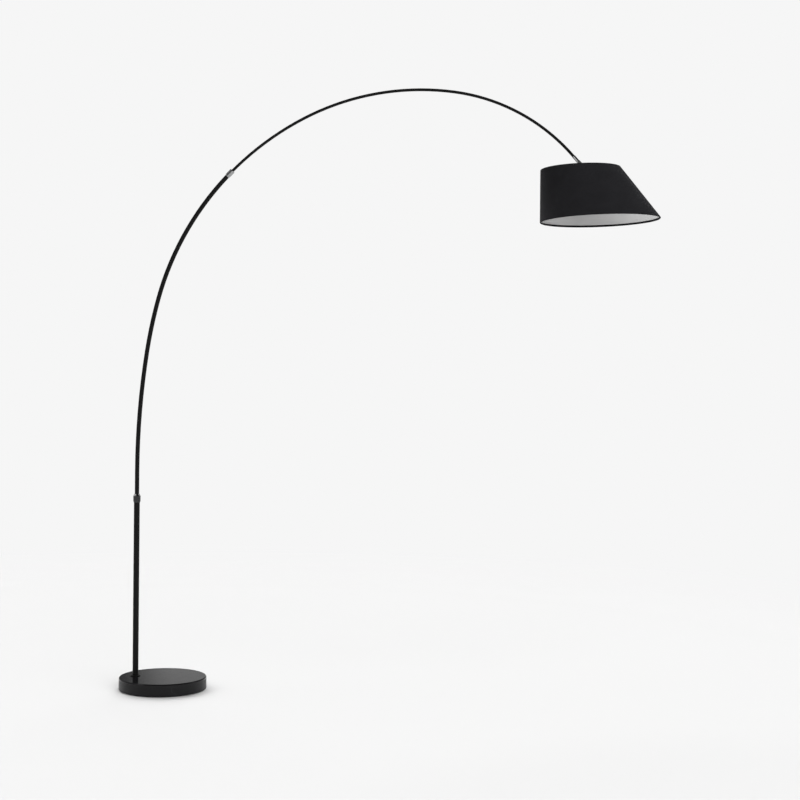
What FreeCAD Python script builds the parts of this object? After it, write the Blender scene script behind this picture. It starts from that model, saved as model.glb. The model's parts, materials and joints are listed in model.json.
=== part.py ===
"""Arc floor lamp: stone base, vertical pole, curved telescopic arm, slanted fabric shade.

Millimetres.  The origin is the centre of the foot pad's underside, +Z is up and +X is the
way the arm reaches.  The pole, the mast and the boom lie in the plane y = 0.  The mast and
the boom follow one path of arcs, so the boom slides in the mast along a true circle.
Every piece is one STEP file in parts/.
"""
import FreeCAD, Part
import math
import os

V = FreeCAD.Vector
TINY = 0.01               # for telling edges apart, and for tools that pass a face
TOOL_MARGIN = 1.0         # how far a cutting tool may pass a face that it meets
Y_AXIS = V(0, 1, 0)
Z_AXIS = V(0, 0, 1)

# ---- clearances ----
RUNNING_FIT = 0.05        # radial, a shaft in its bush or thread
FREE_GAP = 0.3            # round pieces that pass each other without touching
FACE_GAP = 0.05           # flat faces that turn on each other
GLUE_GAP = 0.1            # glue line between the shade's skin and its lining
SEAT_GAP = 0.3            # along the axis, between a collet's cone and its seat

# ---- stone base and pad ----
BASE_DIAMETER = 300.0
BASE_THICKNESS = 42.0
BASE_TOP_ROUND = 4.0
BASE_BOTTOM_CHAMFER = 1.5
PAD_MARGIN = 6.0          # pad's edge in from the stone's rim
PAD_THICKNESS = 2.0
POLE_FROM_RIM = 55.0      # pole axis in from the stone's rim
NUT_RECESS_DIAMETER = 46.0
NUT_RECESS_DEPTH = 26.0
CHANNEL_WIDTH = 9.0       # lead channel in the stone's underside
CHANNEL_DEPTH = 9.0
GROMMET_LENGTH = 12.0
GROMMET_INSET = 4.5       # grommet's outer face in from the rim, on the channel's centre line
INLET_BORE = 6.2          # hole for the supply cord
CLAMP_LENGTH = 9.0        # lead clamp pressed in the channel
CLAMP_INSET = 42.0        # clamp's near face from the pole axis

# ---- stud and what it holds ----
STUD_DIAMETER = 12.0
STUD_BORE = 7.0
STUD_INTO_POLE = 20.0
STUD_HOLE_CLEARANCE = 0.5
WASHER_DIAMETER = 36.0
WASHER_THICKNESS = 2.5
SPRING_WASHER_DIAMETER = 20.0
SPRING_WASHER_THICKNESS = 2.0
SPRING_WASHER_SPLIT = 2.0
NUT_ACROSS_FLATS = 19.0
NUT_HEIGHT = 7.0
STUD_BELOW_NUT = 1.0
FLANGE_DIAMETER = 34.0
FLANGE_THICKNESS = 2.5

# ---- pole ----
POLE_DIAMETER = 20.0
POLE_WALL = 1.5
POLE_LENGTH = 595.0
FOOT_PLUG_LENGTH = 24.0

# ---- lower joint: socket, collet and lock ring on the pole axis ----
SOCKET_SPIGOT_LENGTH = 25.0
SOCKET_SHOULDER = 3.0
SOCKET_THREAD_LENGTH = 15.0
LOWER_RING_DIAMETER = 25.0
LOWER_RING_LENGTH = 29.4
LOWER_RING_TOP_CONE = 7.0
LOWER_RING_TOP_DIAMETER = 17.2
LOWER_RING_FOOT_CONE = 4.5
LOWER_RING_FOOT_DIAMETER = 21.8
RING_LIFT = 0.3           # gap under a lock ring when it is tight

# ---- collets: a nylon sleeve with a cone at each end ----
COLLET_CONE_HEIGHT = 3.5
COLLET_WAIST_LENGTH = 4.2
COLLET_WALL_AT_END = 0.45
COLLET_WALL = 1.65
COLLET_SLIT = 1.5
COLLET_STARTS_IN = 3.0    # how far a collet's foot sits below its socket's mouth

# ---- mast ----
MAST_DIAMETER = 15.0
MAST_WALL = 1.2
MAST_INSERT = 200.0       # mast inside the pole when the lamp stands as drawn
MAST_STRAIGHT = 110.0     # straight run above the pole's socket
MAST_FOOT_RADIUS = 2800.0
MAST_FOOT_LENGTH = 415.0
MAST_KNEE_RADIUS = 1665.0
MAST_KNEE_LENGTH = 186.0
SLIDE_RADIUS = 1000.0     # common arc of the mast's top and the boom's foot
SLIDE_BELOW = 502.0       # of that arc, below the upper joint's centre
MAST_BUSH_LENGTH = 30.0
BUSH_LIP = 1.5

# ---- upper joint, on the tangent at its centre ----
UPPER_RING_DIAMETER = 18.5
UPPER_RING_LENGTH = 26.0
UPPER_RING_CHAMFER = 0.9
UPPER_SPIGOT_LENGTH = 20.0
UPPER_SHOULDER = 1.2
UPPER_THREAD_LENGTH = 16.0
UPPER_THREAD_DIAMETER = 14.6

# ---- boom ----
BOOM_DIAMETER = 10.0
BOOM_WALL = 1.0
BOOM_INSERT = 150.0       # boom inside the mast when the lamp stands as drawn
SLIDE_ABOVE = 318.0       # of the common arc, above the upper joint's centre
CROWN_RADIUS = 876.0
CROWN_LENGTH = 538.0
TIP_RADIUS = 656.0
TIP_LENGTH = 476.0
BOOM_BUSH_LENGTH = 22.0

# ---- swivel at the boom's end ----
SLEEVE_DIAMETER = 12.0
SLEEVE_SEAT = 12.0        # boom inside the swivel's sleeve
PIVOT_REACH = 35.0        # pivot from the mouth of the sleeve
BARREL_DIAMETER = 13.0
BARREL_WIDTH = 9.0
TRUNNION_DIAMETER = 8.0
TRUNNION_REACH = 1.5      # trunnion inside the barrel
TRUNNION_THREAD = 9.0
TRUNNION_HEAD_DIAMETER = 11.0
TRUNNION_HEAD = 1.0
TRUNNION_SLOT = 1.2
SWIVEL_WASHER_THICKNESS = 0.4
EAR_THICKNESS = 2.5
FORK_ROOT_THICKNESS = 6.0
FORK_CLEARANCE = 0.5      # fork's root from the barrel
NECK_DIAMETER = 9.0
NECK_LENGTH = 8.0         # from the pivot to the collar on the lampholder
NECK_COLLAR_DIAMETER = 15.0
NECK_COLLAR = 2.0
NIPPLE_DIAMETER = 10.0
NIPPLE_LENGTH = 12.0
NIPPLE_BORE = 6.2
NIPPLE_NUT_ACROSS_FLATS = 14.0
NIPPLE_NUT_HEIGHT = 3.0
LEAD_SLOT_FROM = -30.0    # degrees from straight up, towards the boom
LEAD_SLOT_TO = 110.0

# ---- shade head, measured from the pivot along the shade's own upright ----
HEAD_TILT = 2.1           # degrees, +X side up
CAP_TOP_DIAMETER = 18.0
CAP_DIAMETER = 39.0
CAP_HEIGHT = 26.0
CAP_WALL = 2.0
CAP_BOSS = 8.0
SHELL_HEIGHT = 36.0
SHELL_WALL = 2.5
SHELL_FLANGE_DIAMETER = 45.0
SHELL_FLANGE = 3.0
SHELL_FLANGE_DOWN = 15.0  # flange's top from the shell's top
BLOCK_DIAMETER = 22.0
BLOCK_HEIGHT = 8.0
INSERT_THICKNESS = 4.0
SCREW_SHELL_DIAMETER = 28.2
SCREW_SHELL_WALL = 0.6
SCREW_SHELL_LENGTH = 24.0
CONTACT_DIAMETER = 8.0
CONTACT_THICKNESS = 1.5
TERMINAL_SPACING = 13.0
TERMINAL_DIAMETER = 4.0
TERMINAL_HEIGHT = 1.6
SHADE_RING_DIAMETER = 54.0
SHADE_RING_HEIGHT = 8.0
SHADE_RING_FLANGE = 2.0
SHADE_RING_BODY_DIAMETER = 46.0

# ---- bulb ----
BULB_DIAMETER = 60.0
BULB_CAP_DIAMETER = 26.4
BULB_CAP_LENGTH = 22.5
BULB_GLASS_LENGTH = 80.0
BULB_NECK_DIAMETER = 28.0
BULB_WALL = 1.0
BULB_TIP_DIAMETER = 9.0
BULB_TIP_LENGTH = 2.0

# ---- shade ----
SHADE_TOP_DIAMETER = 275.0
SHADE_BOTTOM_DIAMETER = 416.0
SHADE_HEIGHT = 181.0
SHADE_SHIFT = 64.5        # bottom rim's centre, out from the top rim's
SHADE_BELOW_PIVOT = 16.0  # top rim below the pivot
SKIN = 0.8                # fabric, measured level
LINING = 0.5              # styrene lining, measured level
HOOP_WIRE = 3.0
HEM = 0.6
HEM_HEIGHT = 5.5
CARRIER_PLATE_DIAMETER = 58.0
CARRIER_PLATE = 1.5
ARM_WIRE = 3.0
ARM_COUNT = 3
ARM_KNEE = 40.0           # where an arm turns up, from the holder's axis
ARM_BEND = 14.0

# ---- internal lead ----
LEAD_DIAMETER = 5.4
LEAD_BEND = 12.0          # where it turns up under the stud
DROP_BEND = 15.0          # where it turns down in the swivel
DROP_START = 8.0          # before the pivot
CORE_DIAMETER = 2.0
CORE_SPREAD = 1.3         # each core from the lead's axis where the sheath ends
CORE_BEND = 3.0
CORE_STEP = 1.0           # drop of the run where a core spreads

# ---- levels and radii that follow ----
POLE_OFFSET = BASE_DIAMETER / 2 - POLE_FROM_RIM   # towards -X
PAD_DIAMETER = BASE_DIAMETER - 2 * PAD_MARGIN
STONE_FOOT = PAD_THICKNESS
STONE_TOP = STONE_FOOT + BASE_THICKNESS
POLE_FOOT = STONE_TOP + FLANGE_THICKNESS
POLE_TOP = POLE_FOOT + POLE_LENGTH
SOCKET_TOP = POLE_TOP + SOCKET_SHOULDER
RECESS_ROOF = STONE_FOOT + NUT_RECESS_DEPTH
NUT_FOOT = RECESS_ROOF - WASHER_THICKNESS - SPRING_WASHER_THICKNESS - NUT_HEIGHT
STUD_FOOT = NUT_FOOT - STUD_BELOW_NUT
CHANNEL_ROOF = STONE_FOOT + CHANNEL_DEPTH
LEAD_LEVEL = CHANNEL_ROOF - CHANNEL_DEPTH / 2
POLE_BORE_R = POLE_DIAMETER / 2 - POLE_WALL
MAST_R = MAST_DIAMETER / 2
MAST_BORE_R = MAST_R - MAST_WALL
BOOM_R = BOOM_DIAMETER / 2
BOOM_BORE_R = BOOM_R - BOOM_WALL
LEAD_R = LEAD_DIAMETER / 2
BARREL_R = BARREL_DIAMETER / 2
EAR_FACE = BARREL_WIDTH / 2 + SWIVEL_WASHER_THICKNESS + 2 * FACE_GAP
FORK_SIDE = EAR_FACE + EAR_THICKNESS
CAP_TOP = -(NECK_LENGTH + NECK_COLLAR)
SHELL_TOP = CAP_TOP - CAP_HEIGHT
SHELL_FOOT = SHELL_TOP - SHELL_HEIGHT
FLANGE_FOOT = SHELL_TOP - SHELL_FLANGE_DOWN - SHELL_FLANGE
PLATE_TOP = FLANGE_FOOT - FACE_GAP
PLATE_FOOT = PLATE_TOP - CARRIER_PLATE
RING_TOP = PLATE_FOOT - FACE_GAP
INSERT_TOP = SHELL_TOP - INSERT_THICKNESS
INSERT_FOOT = INSERT_TOP - INSERT_THICKNESS
CONTACT_FOOT = INSERT_FOOT - CONTACT_THICKNESS
BULB_TIP_TOP = CONTACT_FOOT - FACE_GAP
BULB_CAP_TOP = BULB_TIP_TOP - BULB_TIP_LENGTH
GLASS_TOP = BULB_CAP_TOP - BULB_CAP_LENGTH
BULB_FOOT = GLASS_TOP - BULB_GLASS_LENGTH
RIM_TOP = -SHADE_BELOW_PIVOT
RIM_FOOT = RIM_TOP - SHADE_HEIGHT


class Path:
    """A line in the plane y = 0 made of straight and arc spans, each tangent to the last.

    Headings are degrees from +X towards +Z, and arcs turn from +Z towards +X.
    """

    def __init__(self, x, z, heading):
        self.spans = []
        self.end = (V(x, 0, z), heading)
        self.length = 0.0

    def straight(self, length):
        return self.add(length, None)

    def arc(self, radius, length):
        return self.add(length, radius)

    def add(self, length, radius):
        point, heading = self.end
        self.spans.append((self.length, length, radius, point, heading))
        self.length += length
        self.end = step(point, heading, radius, length)
        return self.length

    def span_at(self, s):
        """The span that holds the distance s along the path."""
        for span in self.spans:
            start, length = span[:2]
            if s <= start + length:
                break
        return span

    def at(self, s):
        """The point and the heading at the distance s along the path."""
        start, length, radius, point, heading = self.span_at(s)
        return step(point, heading, radius, s - start)

    def centre_at(self, s):
        """The centre of the arc that holds the distance s along the path."""
        start, length, radius, point, heading = self.span_at(s)
        return arc_centre(point, heading, radius)

    def swept(self, s_from, s_to, outer, inner=0.0):
        """A round bar, or a tube where inner is given, along the path from s_from to s_to."""
        solids = []
        for start, length, radius, point, heading in self.spans:
            low = max(s_from, start)
            high = min(s_to, start + length)
            if high - low < TINY:
                continue
            foot, turn = step(point, heading, radius, low - start)
            face = disc_face(foot, direction(turn), outer, inner)
            if radius is None:
                solids.append(face.extrude(direction(turn) * (high - low)))
                continue
            centre = arc_centre(point, heading, radius)
            solids.append(face.revolve(centre, Y_AXIS, math.degrees((high - low) / radius)))
        return joined(solids)


def direction(heading):
    angle = math.radians(heading)
    return V(math.cos(angle), 0, math.sin(angle))


def arc_centre(point, heading, radius):
    return point + direction(heading - 90) * radius


def step(point, heading, radius, length):
    """The point and heading after a length of a straight span or of an arc."""
    if radius is None:
        return point + direction(heading) * length, heading
    centre = arc_centre(point, heading, radius)
    turned_heading = heading - math.degrees(length / radius)
    return centre - direction(turned_heading - 90) * radius, turned_heading


def disc_face(centre, normal, outer, inner=0.0):
    rims = [Part.Wire(Part.makeCircle(outer, centre, normal))]
    if inner > 0:
        rims.append(Part.Wire(Part.makeCircle(inner, centre, normal)))
        return Part.makeFace(rims, "Part::FaceMakerBullseye")
    return Part.Face(rims[0])


def joined(solids):
    """One solid from solids that touch or overlap."""
    if len(solids) == 1:
        whole = solids[0]
    else:
        whole = solids[0].multiFuse(solids[1:])
    return whole.Solids[0] if len(whole.Solids) == 1 else whole


def cut(shape, *tools):
    """The shape without the tools, as one solid."""
    rest = shape.cut(list(tools))
    return rest.Solids[0] if len(rest.Solids) == 1 else rest


def turned(profile):
    """A closed outline of (radius, height) points, turned about the Z axis."""
    points = [V(radius, 0, height) for radius, height in profile]
    face = Part.Face(Part.makePolygon(points + points[:1]))
    return face.revolve(V(0, 0, 0), Z_AXIS, 360).Solids[0]


def sleeve(outer, inner, foot, top):
    """A plain tube about the Z axis, given by radii."""
    return turned([(inner, foot), (outer, foot), (outer, top), (inner, top)])


def bar(radius, foot, top):
    """A plain round bar about the Z axis."""
    return Part.makeCylinder(radius, top - foot, V(0, 0, foot))


def cross_bar(radius, y_from, y_to):
    """A round bar about the Y axis."""
    return Part.makeCylinder(radius, y_to - y_from, V(0, y_from, 0), Y_AXIS)


def hexagon(across_flats, foot, height):
    corner = across_flats / math.sqrt(3)
    angles = [math.radians(60 * k) for k in range(6)]
    points = [V(corner * math.cos(a), corner * math.sin(a), foot) for a in angles]
    return Part.Face(Part.makePolygon(points + points[:1])).extrude(V(0, 0, height))


def box(x_from, x_to, y_from, y_to, z_from, z_to):
    corner = V(x_from, y_from, z_from)
    return Part.makeBox(x_to - x_from, y_to - y_from, z_to - z_from, corner)


def pipe(points, bends, radius):
    """A round wire along straight runs, each corner rounded by a tangent arc.

    bends holds one radius for each inner point.
    """
    starts = [points[0]]
    ends = []
    solids = []
    for before, corner, after, bend in zip(points, points[1:], points[2:], bends):
        arriving = (corner - before).normalize()
        leaving = (after - corner).normalize()
        turn = arriving.getAngle(leaving)
        setback = bend * math.tan(turn / 2)
        arc_start = corner - arriving * setback
        axis = arriving.cross(leaving).normalize()
        centre = arc_start + axis.cross(arriving) * bend
        face = disc_face(arc_start, arriving, radius)
        solids.append(face.revolve(centre, axis, math.degrees(turn)))
        ends.append(arc_start)
        starts.append(corner + leaving * setback)
    ends.append(points[-1])
    for start, end in zip(starts, ends):
        run = end - start
        solids.append(Part.makeCylinder(radius, run.Length, start, run))
    return joined(solids)


def pipe_length(points, bends):
    """The length of the centre line that pipe() follows."""
    total = sum((b - a).Length for a, b in zip(points, points[1:]))
    for before, corner, after, bend in zip(points, points[1:], points[2:], bends):
        turn = (corner - before).getAngle(after - corner)
        total += bend * turn - 2 * bend * math.tan(turn / 2)
    return total


# ---- placing ----
def on_pole(shape):
    """From the Z axis onto the pole's axis."""
    shape.translate(V(-POLE_OFFSET, 0, 0))
    return shape


def on_path(shape, path, s):
    """From the Z axis onto the path's tangent at s, with the origin at that point."""
    point, heading = path.at(s)
    shape.rotate(V(0, 0, 0), Y_AXIS, 90 - heading)
    shape.translate(point)
    return shape


def on_head(shape):
    """From the shade's own upright axis, with its origin at the pivot, into the lamp."""
    shape.rotate(V(0, 0, 0), Y_AXIS, -HEAD_TILT)
    shape.translate(PIVOT)
    return shape


# ---- the arm's path ----
def arm_path():
    path = Path(-POLE_OFFSET, SOCKET_TOP - MAST_INSERT, 90)
    path.straight(MAST_INSERT + MAST_STRAIGHT)
    path.arc(MAST_FOOT_RADIUS, MAST_FOOT_LENGTH)
    path.arc(MAST_KNEE_RADIUS, MAST_KNEE_LENGTH)
    path.arc(SLIDE_RADIUS, SLIDE_BELOW + SLIDE_ABOVE)
    path.arc(CROWN_RADIUS, CROWN_LENGTH)
    path.arc(TIP_RADIUS, TIP_LENGTH)
    path.straight(PIVOT_REACH)
    return path


ARM = arm_path()
UPPER_JOINT = MAST_INSERT + MAST_STRAIGHT + MAST_FOOT_LENGTH + MAST_KNEE_LENGTH + SLIDE_BELOW
MAST_END = UPPER_JOINT - UPPER_RING_LENGTH / 2 - UPPER_SHOULDER
BOOM_FOOT = UPPER_JOINT - BOOM_INSERT
SLEEVE_MOUTH = ARM.length - PIVOT_REACH
PIVOT = ARM.end[0]
SLIDE_CENTRE = ARM.centre_at(UPPER_JOINT)


# ---- stand ----
def base_disc():
    stone = Part.makeCylinder(BASE_DIAMETER / 2, BASE_THICKNESS, V(0, 0, STONE_FOOT))
    top = [e for e in stone.Edges if e.BoundBox.ZMin > STONE_TOP - TINY]
    stone = stone.makeFillet(BASE_TOP_ROUND, top)
    foot = [e for e in stone.Edges if e.BoundBox.ZMax < STONE_FOOT + TINY]
    stone = stone.makeChamfer(BASE_BOTTOM_CHAMFER, foot)
    hole = on_pole(bar(STUD_DIAMETER / 2 + STUD_HOLE_CLEARANCE, 0, STONE_TOP + TINY))
    recess = on_pole(bar(NUT_RECESS_DIAMETER / 2, STONE_FOOT, RECESS_ROOF))
    half = CHANNEL_WIDTH / 2
    channel = on_pole(box(-half, half, 0, BASE_DIAMETER, STONE_FOOT, CHANNEL_ROOF))
    return cut(stone, hole, recess, channel)


def rim_on_channel():
    """How far the stone's rim lies from the pole's axis, along the channel."""
    return math.sqrt((BASE_DIAMETER / 2) ** 2 - POLE_OFFSET ** 2)


def foot_pad():
    return Part.makeCylinder(PAD_DIAMETER / 2, PAD_THICKNESS)


def lead_grommet():
    outer_face = rim_on_channel() - GROMMET_INSET
    half = CHANNEL_WIDTH / 2
    inner_face = outer_face - GROMMET_LENGTH
    plug = box(-half, half, inner_face, outer_face, STONE_FOOT, CHANNEL_ROOF)
    bore = cross_bar(INLET_BORE / 2, inner_face, outer_face)
    bore.translate(V(0, 0, LEAD_LEVEL))
    return on_pole(cut(plug, bore))


def lead_clamp():
    half = CHANNEL_WIDTH / 2
    block = box(-half, half, CLAMP_INSET, CLAMP_INSET + CLAMP_LENGTH, STONE_FOOT, CHANNEL_ROOF)
    groove = cross_bar(LEAD_R, CLAMP_INSET, CLAMP_INSET + CLAMP_LENGTH)
    groove.translate(V(0, 0, LEAD_LEVEL))
    return on_pole(cut(block, groove))


def pole_flange():
    plate = sleeve(FLANGE_DIAMETER / 2, STUD_DIAMETER / 2 + STUD_HOLE_CLEARANCE,
                   STONE_TOP, POLE_FOOT)
    rim = [e for e in plate.Edges
           if e.BoundBox.ZMin > POLE_FOOT - TINY and e.BoundBox.XLength > STUD_DIAMETER * 2]
    return on_pole(plate.makeFillet(FLANGE_THICKNESS * 0.4, rim))


def pole_stud():
    return on_pole(sleeve(STUD_DIAMETER / 2, STUD_BORE / 2, STUD_FOOT,
                          POLE_FOOT + STUD_INTO_POLE))


def stud_washer():
    top = RECESS_ROOF
    return on_pole(sleeve(WASHER_DIAMETER / 2, STUD_DIAMETER / 2 + STUD_HOLE_CLEARANCE,
                          top - WASHER_THICKNESS, top))


def spring_washer():
    top = RECESS_ROOF - WASHER_THICKNESS
    foot = top - SPRING_WASHER_THICKNESS
    ring = sleeve(SPRING_WASHER_DIAMETER / 2, STUD_DIAMETER / 2 + RUNNING_FIT * 2, foot, top)
    half = SPRING_WASHER_SPLIT / 2
    split = box(0, WASHER_DIAMETER, -half, half, foot, top)
    return on_pole(cut(ring, split))


def stud_nut():
    nut = hexagon(NUT_ACROSS_FLATS, NUT_FOOT, NUT_HEIGHT)
    return on_pole(cut(nut, bar(STUD_DIAMETER / 2, NUT_FOOT, NUT_FOOT + NUT_HEIGHT)))


def pole_foot_plug():
    return on_pole(sleeve(POLE_BORE_R, STUD_DIAMETER / 2, POLE_FOOT,
                          POLE_FOOT + FOOT_PLUG_LENGTH))


def lower_pole():
    return on_pole(sleeve(POLE_DIAMETER / 2, POLE_BORE_R, POLE_FOOT, POLE_TOP))


def collet_profile(bore):
    """Outline of a collet from its foot at height 0: a cone, a waist, a cone."""
    end = bore + COLLET_WALL_AT_END
    waist = bore + COLLET_WALL
    top = 2 * COLLET_CONE_HEIGHT + COLLET_WAIST_LENGTH
    return [(bore, 0), (end, 0), (waist, COLLET_CONE_HEIGHT),
            (waist, top - COLLET_CONE_HEIGHT), (end, top), (bore, top)]


def collet(bore, foot):
    body = turned(collet_profile(bore))
    half = COLLET_SLIT / 2
    top = 2 * COLLET_CONE_HEIGHT + COLLET_WAIST_LENGTH
    slit = box(0, 2 * (bore + COLLET_WALL), -half, half, 0, top)
    body = cut(body, slit)
    body.translate(V(0, 0, foot))
    return body


def collet_seat(bore, mouth, depth):
    """The cone that a socket leaves for its collet: the collet's foot cone, SEAT_GAP lower."""
    slope = (COLLET_WALL - COLLET_WALL_AT_END) / COLLET_CONE_HEIGHT
    foot = mouth - depth - SEAT_GAP
    end = bore + COLLET_WALL_AT_END
    low = foot - COLLET_WALL_AT_END / slope
    rise = mouth - low
    return turned([(0, low), (bore, low), (bore + slope * rise, mouth), (0, mouth)])


def ring_hollow(bore, thread, foot, thread_top, collet_foot, hole, top):
    """The inside of a lock ring: thread, relief round the collet, cone, hole for the tube."""
    waist = bore + COLLET_WALL + SEAT_GAP
    end = bore + COLLET_WALL_AT_END
    cone_foot = collet_foot + COLLET_CONE_HEIGHT + COLLET_WAIST_LENGTH + SEAT_GAP
    cone_top = cone_foot + COLLET_CONE_HEIGHT
    slope = (COLLET_WALL - COLLET_WALL_AT_END) / COLLET_CONE_HEIGHT
    waist_z = cone_foot - SEAT_GAP / slope
    hole_z = cone_top + (end - hole) / slope
    return turned([(0, foot), (thread, foot), (thread, thread_top), (waist, thread_top),
                   (waist, waist_z), (hole, hole_z), (hole, top), (0, top)])


LOWER_BORE_R = MAST_R + RUNNING_FIT
LOWER_COLLET_FOOT = SOCKET_TOP + SOCKET_THREAD_LENGTH - COLLET_STARTS_IN


def pole_top_socket():
    thread_r = POLE_DIAMETER / 2
    mouth = SOCKET_TOP + SOCKET_THREAD_LENGTH
    body = turned([(LOWER_BORE_R, POLE_TOP - SOCKET_SPIGOT_LENGTH),
                   (POLE_BORE_R, POLE_TOP - SOCKET_SPIGOT_LENGTH),
                   (POLE_BORE_R, POLE_TOP), (thread_r, POLE_TOP),
                   (thread_r, mouth), (LOWER_BORE_R, mouth)])
    return on_pole(cut(body, collet_seat(LOWER_BORE_R, mouth, COLLET_STARTS_IN)))


def lower_lock_ring():
    foot = SOCKET_TOP + RING_LIFT
    top = foot + LOWER_RING_LENGTH
    outer = LOWER_RING_DIAMETER / 2
    body = turned([(0, foot), (LOWER_RING_FOOT_DIAMETER / 2, foot),
                   (outer, foot + LOWER_RING_FOOT_CONE), (outer, top - LOWER_RING_TOP_CONE),
                   (LOWER_RING_TOP_DIAMETER / 2, top), (0, top)])
    hollow = ring_hollow(LOWER_BORE_R, POLE_DIAMETER / 2 + RUNNING_FIT, foot,
                         SOCKET_TOP + SOCKET_THREAD_LENGTH + RING_LIFT, LOWER_COLLET_FOOT,
                         MAST_R + FREE_GAP, top)
    return on_pole(cut(body, hollow))


def lower_collet():
    return on_pole(collet(LOWER_BORE_R, LOWER_COLLET_FOOT))


# ---- mast ----
def mid_tube():
    return ARM.swept(0, MAST_END, MAST_R, MAST_BORE_R)


def mast_guide_bush():
    outer = POLE_BORE_R - RUNNING_FIT
    body = turned([(LEAD_R + FREE_GAP, -BUSH_LIP), (outer, -BUSH_LIP),
                   (outer, MAST_BUSH_LENGTH), (MAST_R, MAST_BUSH_LENGTH),
                   (MAST_R, 0), (LEAD_R + FREE_GAP, 0)])
    return on_path(body, ARM, 0)


UPPER_BORE_R = BOOM_R + RUNNING_FIT
UPPER_SOCKET_FOOT = -UPPER_RING_LENGTH / 2
UPPER_MOUTH = UPPER_SOCKET_FOOT + UPPER_THREAD_LENGTH
UPPER_COLLET_FOOT = UPPER_MOUTH - COLLET_STARTS_IN


def mast_top_socket():
    """Spigot and shoulder bent to the tube's arc, then a straight neck on the tangent."""
    neck = bar(UPPER_THREAD_DIAMETER / 2, UPPER_SOCKET_FOOT - UPPER_SHOULDER / 2, UPPER_MOUTH)
    neck = cut(neck, collet_seat(UPPER_BORE_R, UPPER_MOUTH, COLLET_STARTS_IN))
    neck = on_path(neck, ARM, UPPER_JOINT)
    spigot = ARM.swept(MAST_END - UPPER_SPIGOT_LENGTH, MAST_END, MAST_BORE_R)
    shoulder = ARM.swept(MAST_END, MAST_END + UPPER_SHOULDER, MAST_R)
    bore = ARM.swept(MAST_END - UPPER_SPIGOT_LENGTH - TINY, UPPER_JOINT + UPPER_THREAD_LENGTH,
                     BOOM_R + FREE_GAP)
    return cut(joined([neck, shoulder, spigot]), bore)


def upper_collet():
    """Centred on the arc at its own middle, so the bent boom runs through it evenly."""
    half = COLLET_CONE_HEIGHT + COLLET_WAIST_LENGTH / 2
    middle = UPPER_JOINT + UPPER_COLLET_FOOT + half
    return on_path(collet(UPPER_BORE_R, -half), ARM, middle)


def upper_lock_ring():
    foot = UPPER_SOCKET_FOOT + RING_LIFT
    top = UPPER_RING_LENGTH / 2
    outer = UPPER_RING_DIAMETER / 2
    edge = UPPER_RING_CHAMFER
    body = turned([(0, foot), (outer - edge, foot), (outer, foot + edge),
                   (outer, top - edge), (outer - edge, top), (0, top)])
    hole = BOOM_R + FREE_GAP + UPPER_RING_LENGTH ** 2 / (8 * SLIDE_RADIUS)
    hollow = ring_hollow(UPPER_BORE_R, UPPER_THREAD_DIAMETER / 2 + RUNNING_FIT, foot,
                         UPPER_MOUTH + RING_LIFT, UPPER_COLLET_FOOT, hole, top)
    return on_path(cut(body, hollow), ARM, UPPER_JOINT)


# ---- boom ----
def upper_rod():
    return ARM.swept(BOOM_FOOT, SLEEVE_MOUTH + SLEEVE_SEAT, BOOM_R, BOOM_BORE_R)


def boom_guide_bush():
    outer = MAST_BORE_R - RUNNING_FIT
    around = ARM.swept(BOOM_FOOT, BOOM_FOOT + BOOM_BUSH_LENGTH, outer, BOOM_R)
    lip = ARM.swept(BOOM_FOOT - BUSH_LIP, BOOM_FOOT, outer, LEAD_R + FREE_GAP)
    return joined([lip, around])


def upper_knuckle():
    """Sleeve on the boom's end, then a fork whose ears carry the trunnion screws."""
    sleeve_r = SLEEVE_DIAMETER / 2
    root_top = PIVOT_REACH - BARREL_R - FORK_CLEARANCE
    root_foot = root_top - FORK_ROOT_THICKNESS
    body = bar(sleeve_r, 0, root_foot)
    root = box(-sleeve_r, sleeve_r, -FORK_SIDE, FORK_SIDE, root_foot, root_top)
    corners = [e for e in root.Edges if abs(e.BoundBox.ZLength - FORK_ROOT_THICKNESS) < TINY]
    root = root.makeFillet(EAR_THICKNESS * 0.8, corners)
    ears = []
    for side in (-1, 1):
        low, high = sorted((side * EAR_FACE, side * FORK_SIDE))
        eye = cross_bar(BARREL_R, low, high)
        eye.translate(V(0, 0, PIVOT_REACH))
        web = box(-sleeve_r, sleeve_r, low, high, root_top - EAR_THICKNESS, PIVOT_REACH)
        ears.append(eye.fuse(web))
    body = joined([body, root] + ears)
    seat = bar(BOOM_R, 0, SLEEVE_SEAT)
    bore = bar(LEAD_R + FREE_GAP, 0, root_top)
    thread = cross_bar(TRUNNION_THREAD / 2, -FORK_SIDE, FORK_SIDE)
    thread.translate(V(0, 0, PIVOT_REACH))
    trim = cross_corners(sleeve_r, root_top)
    return on_path(cut(body.cut(trim), seat, bore, thread), ARM, SLEEVE_MOUTH)


def cross_corners(sleeve_r, root_top):
    """What lies outside the fork's rounded sides, above its root."""
    outside = box(-BARREL_R * 2, BARREL_R * 2, -FORK_SIDE, FORK_SIDE, root_top, PIVOT_REACH)
    inside = box(-sleeve_r, sleeve_r, -FORK_SIDE, FORK_SIDE, root_top - TOOL_MARGIN,
                 PIVOT_REACH + TOOL_MARGIN)
    eye = cross_bar(BARREL_R, -FORK_SIDE, FORK_SIDE)
    eye.translate(V(0, 0, PIVOT_REACH))
    return outside.cut([inside, eye])


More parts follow.
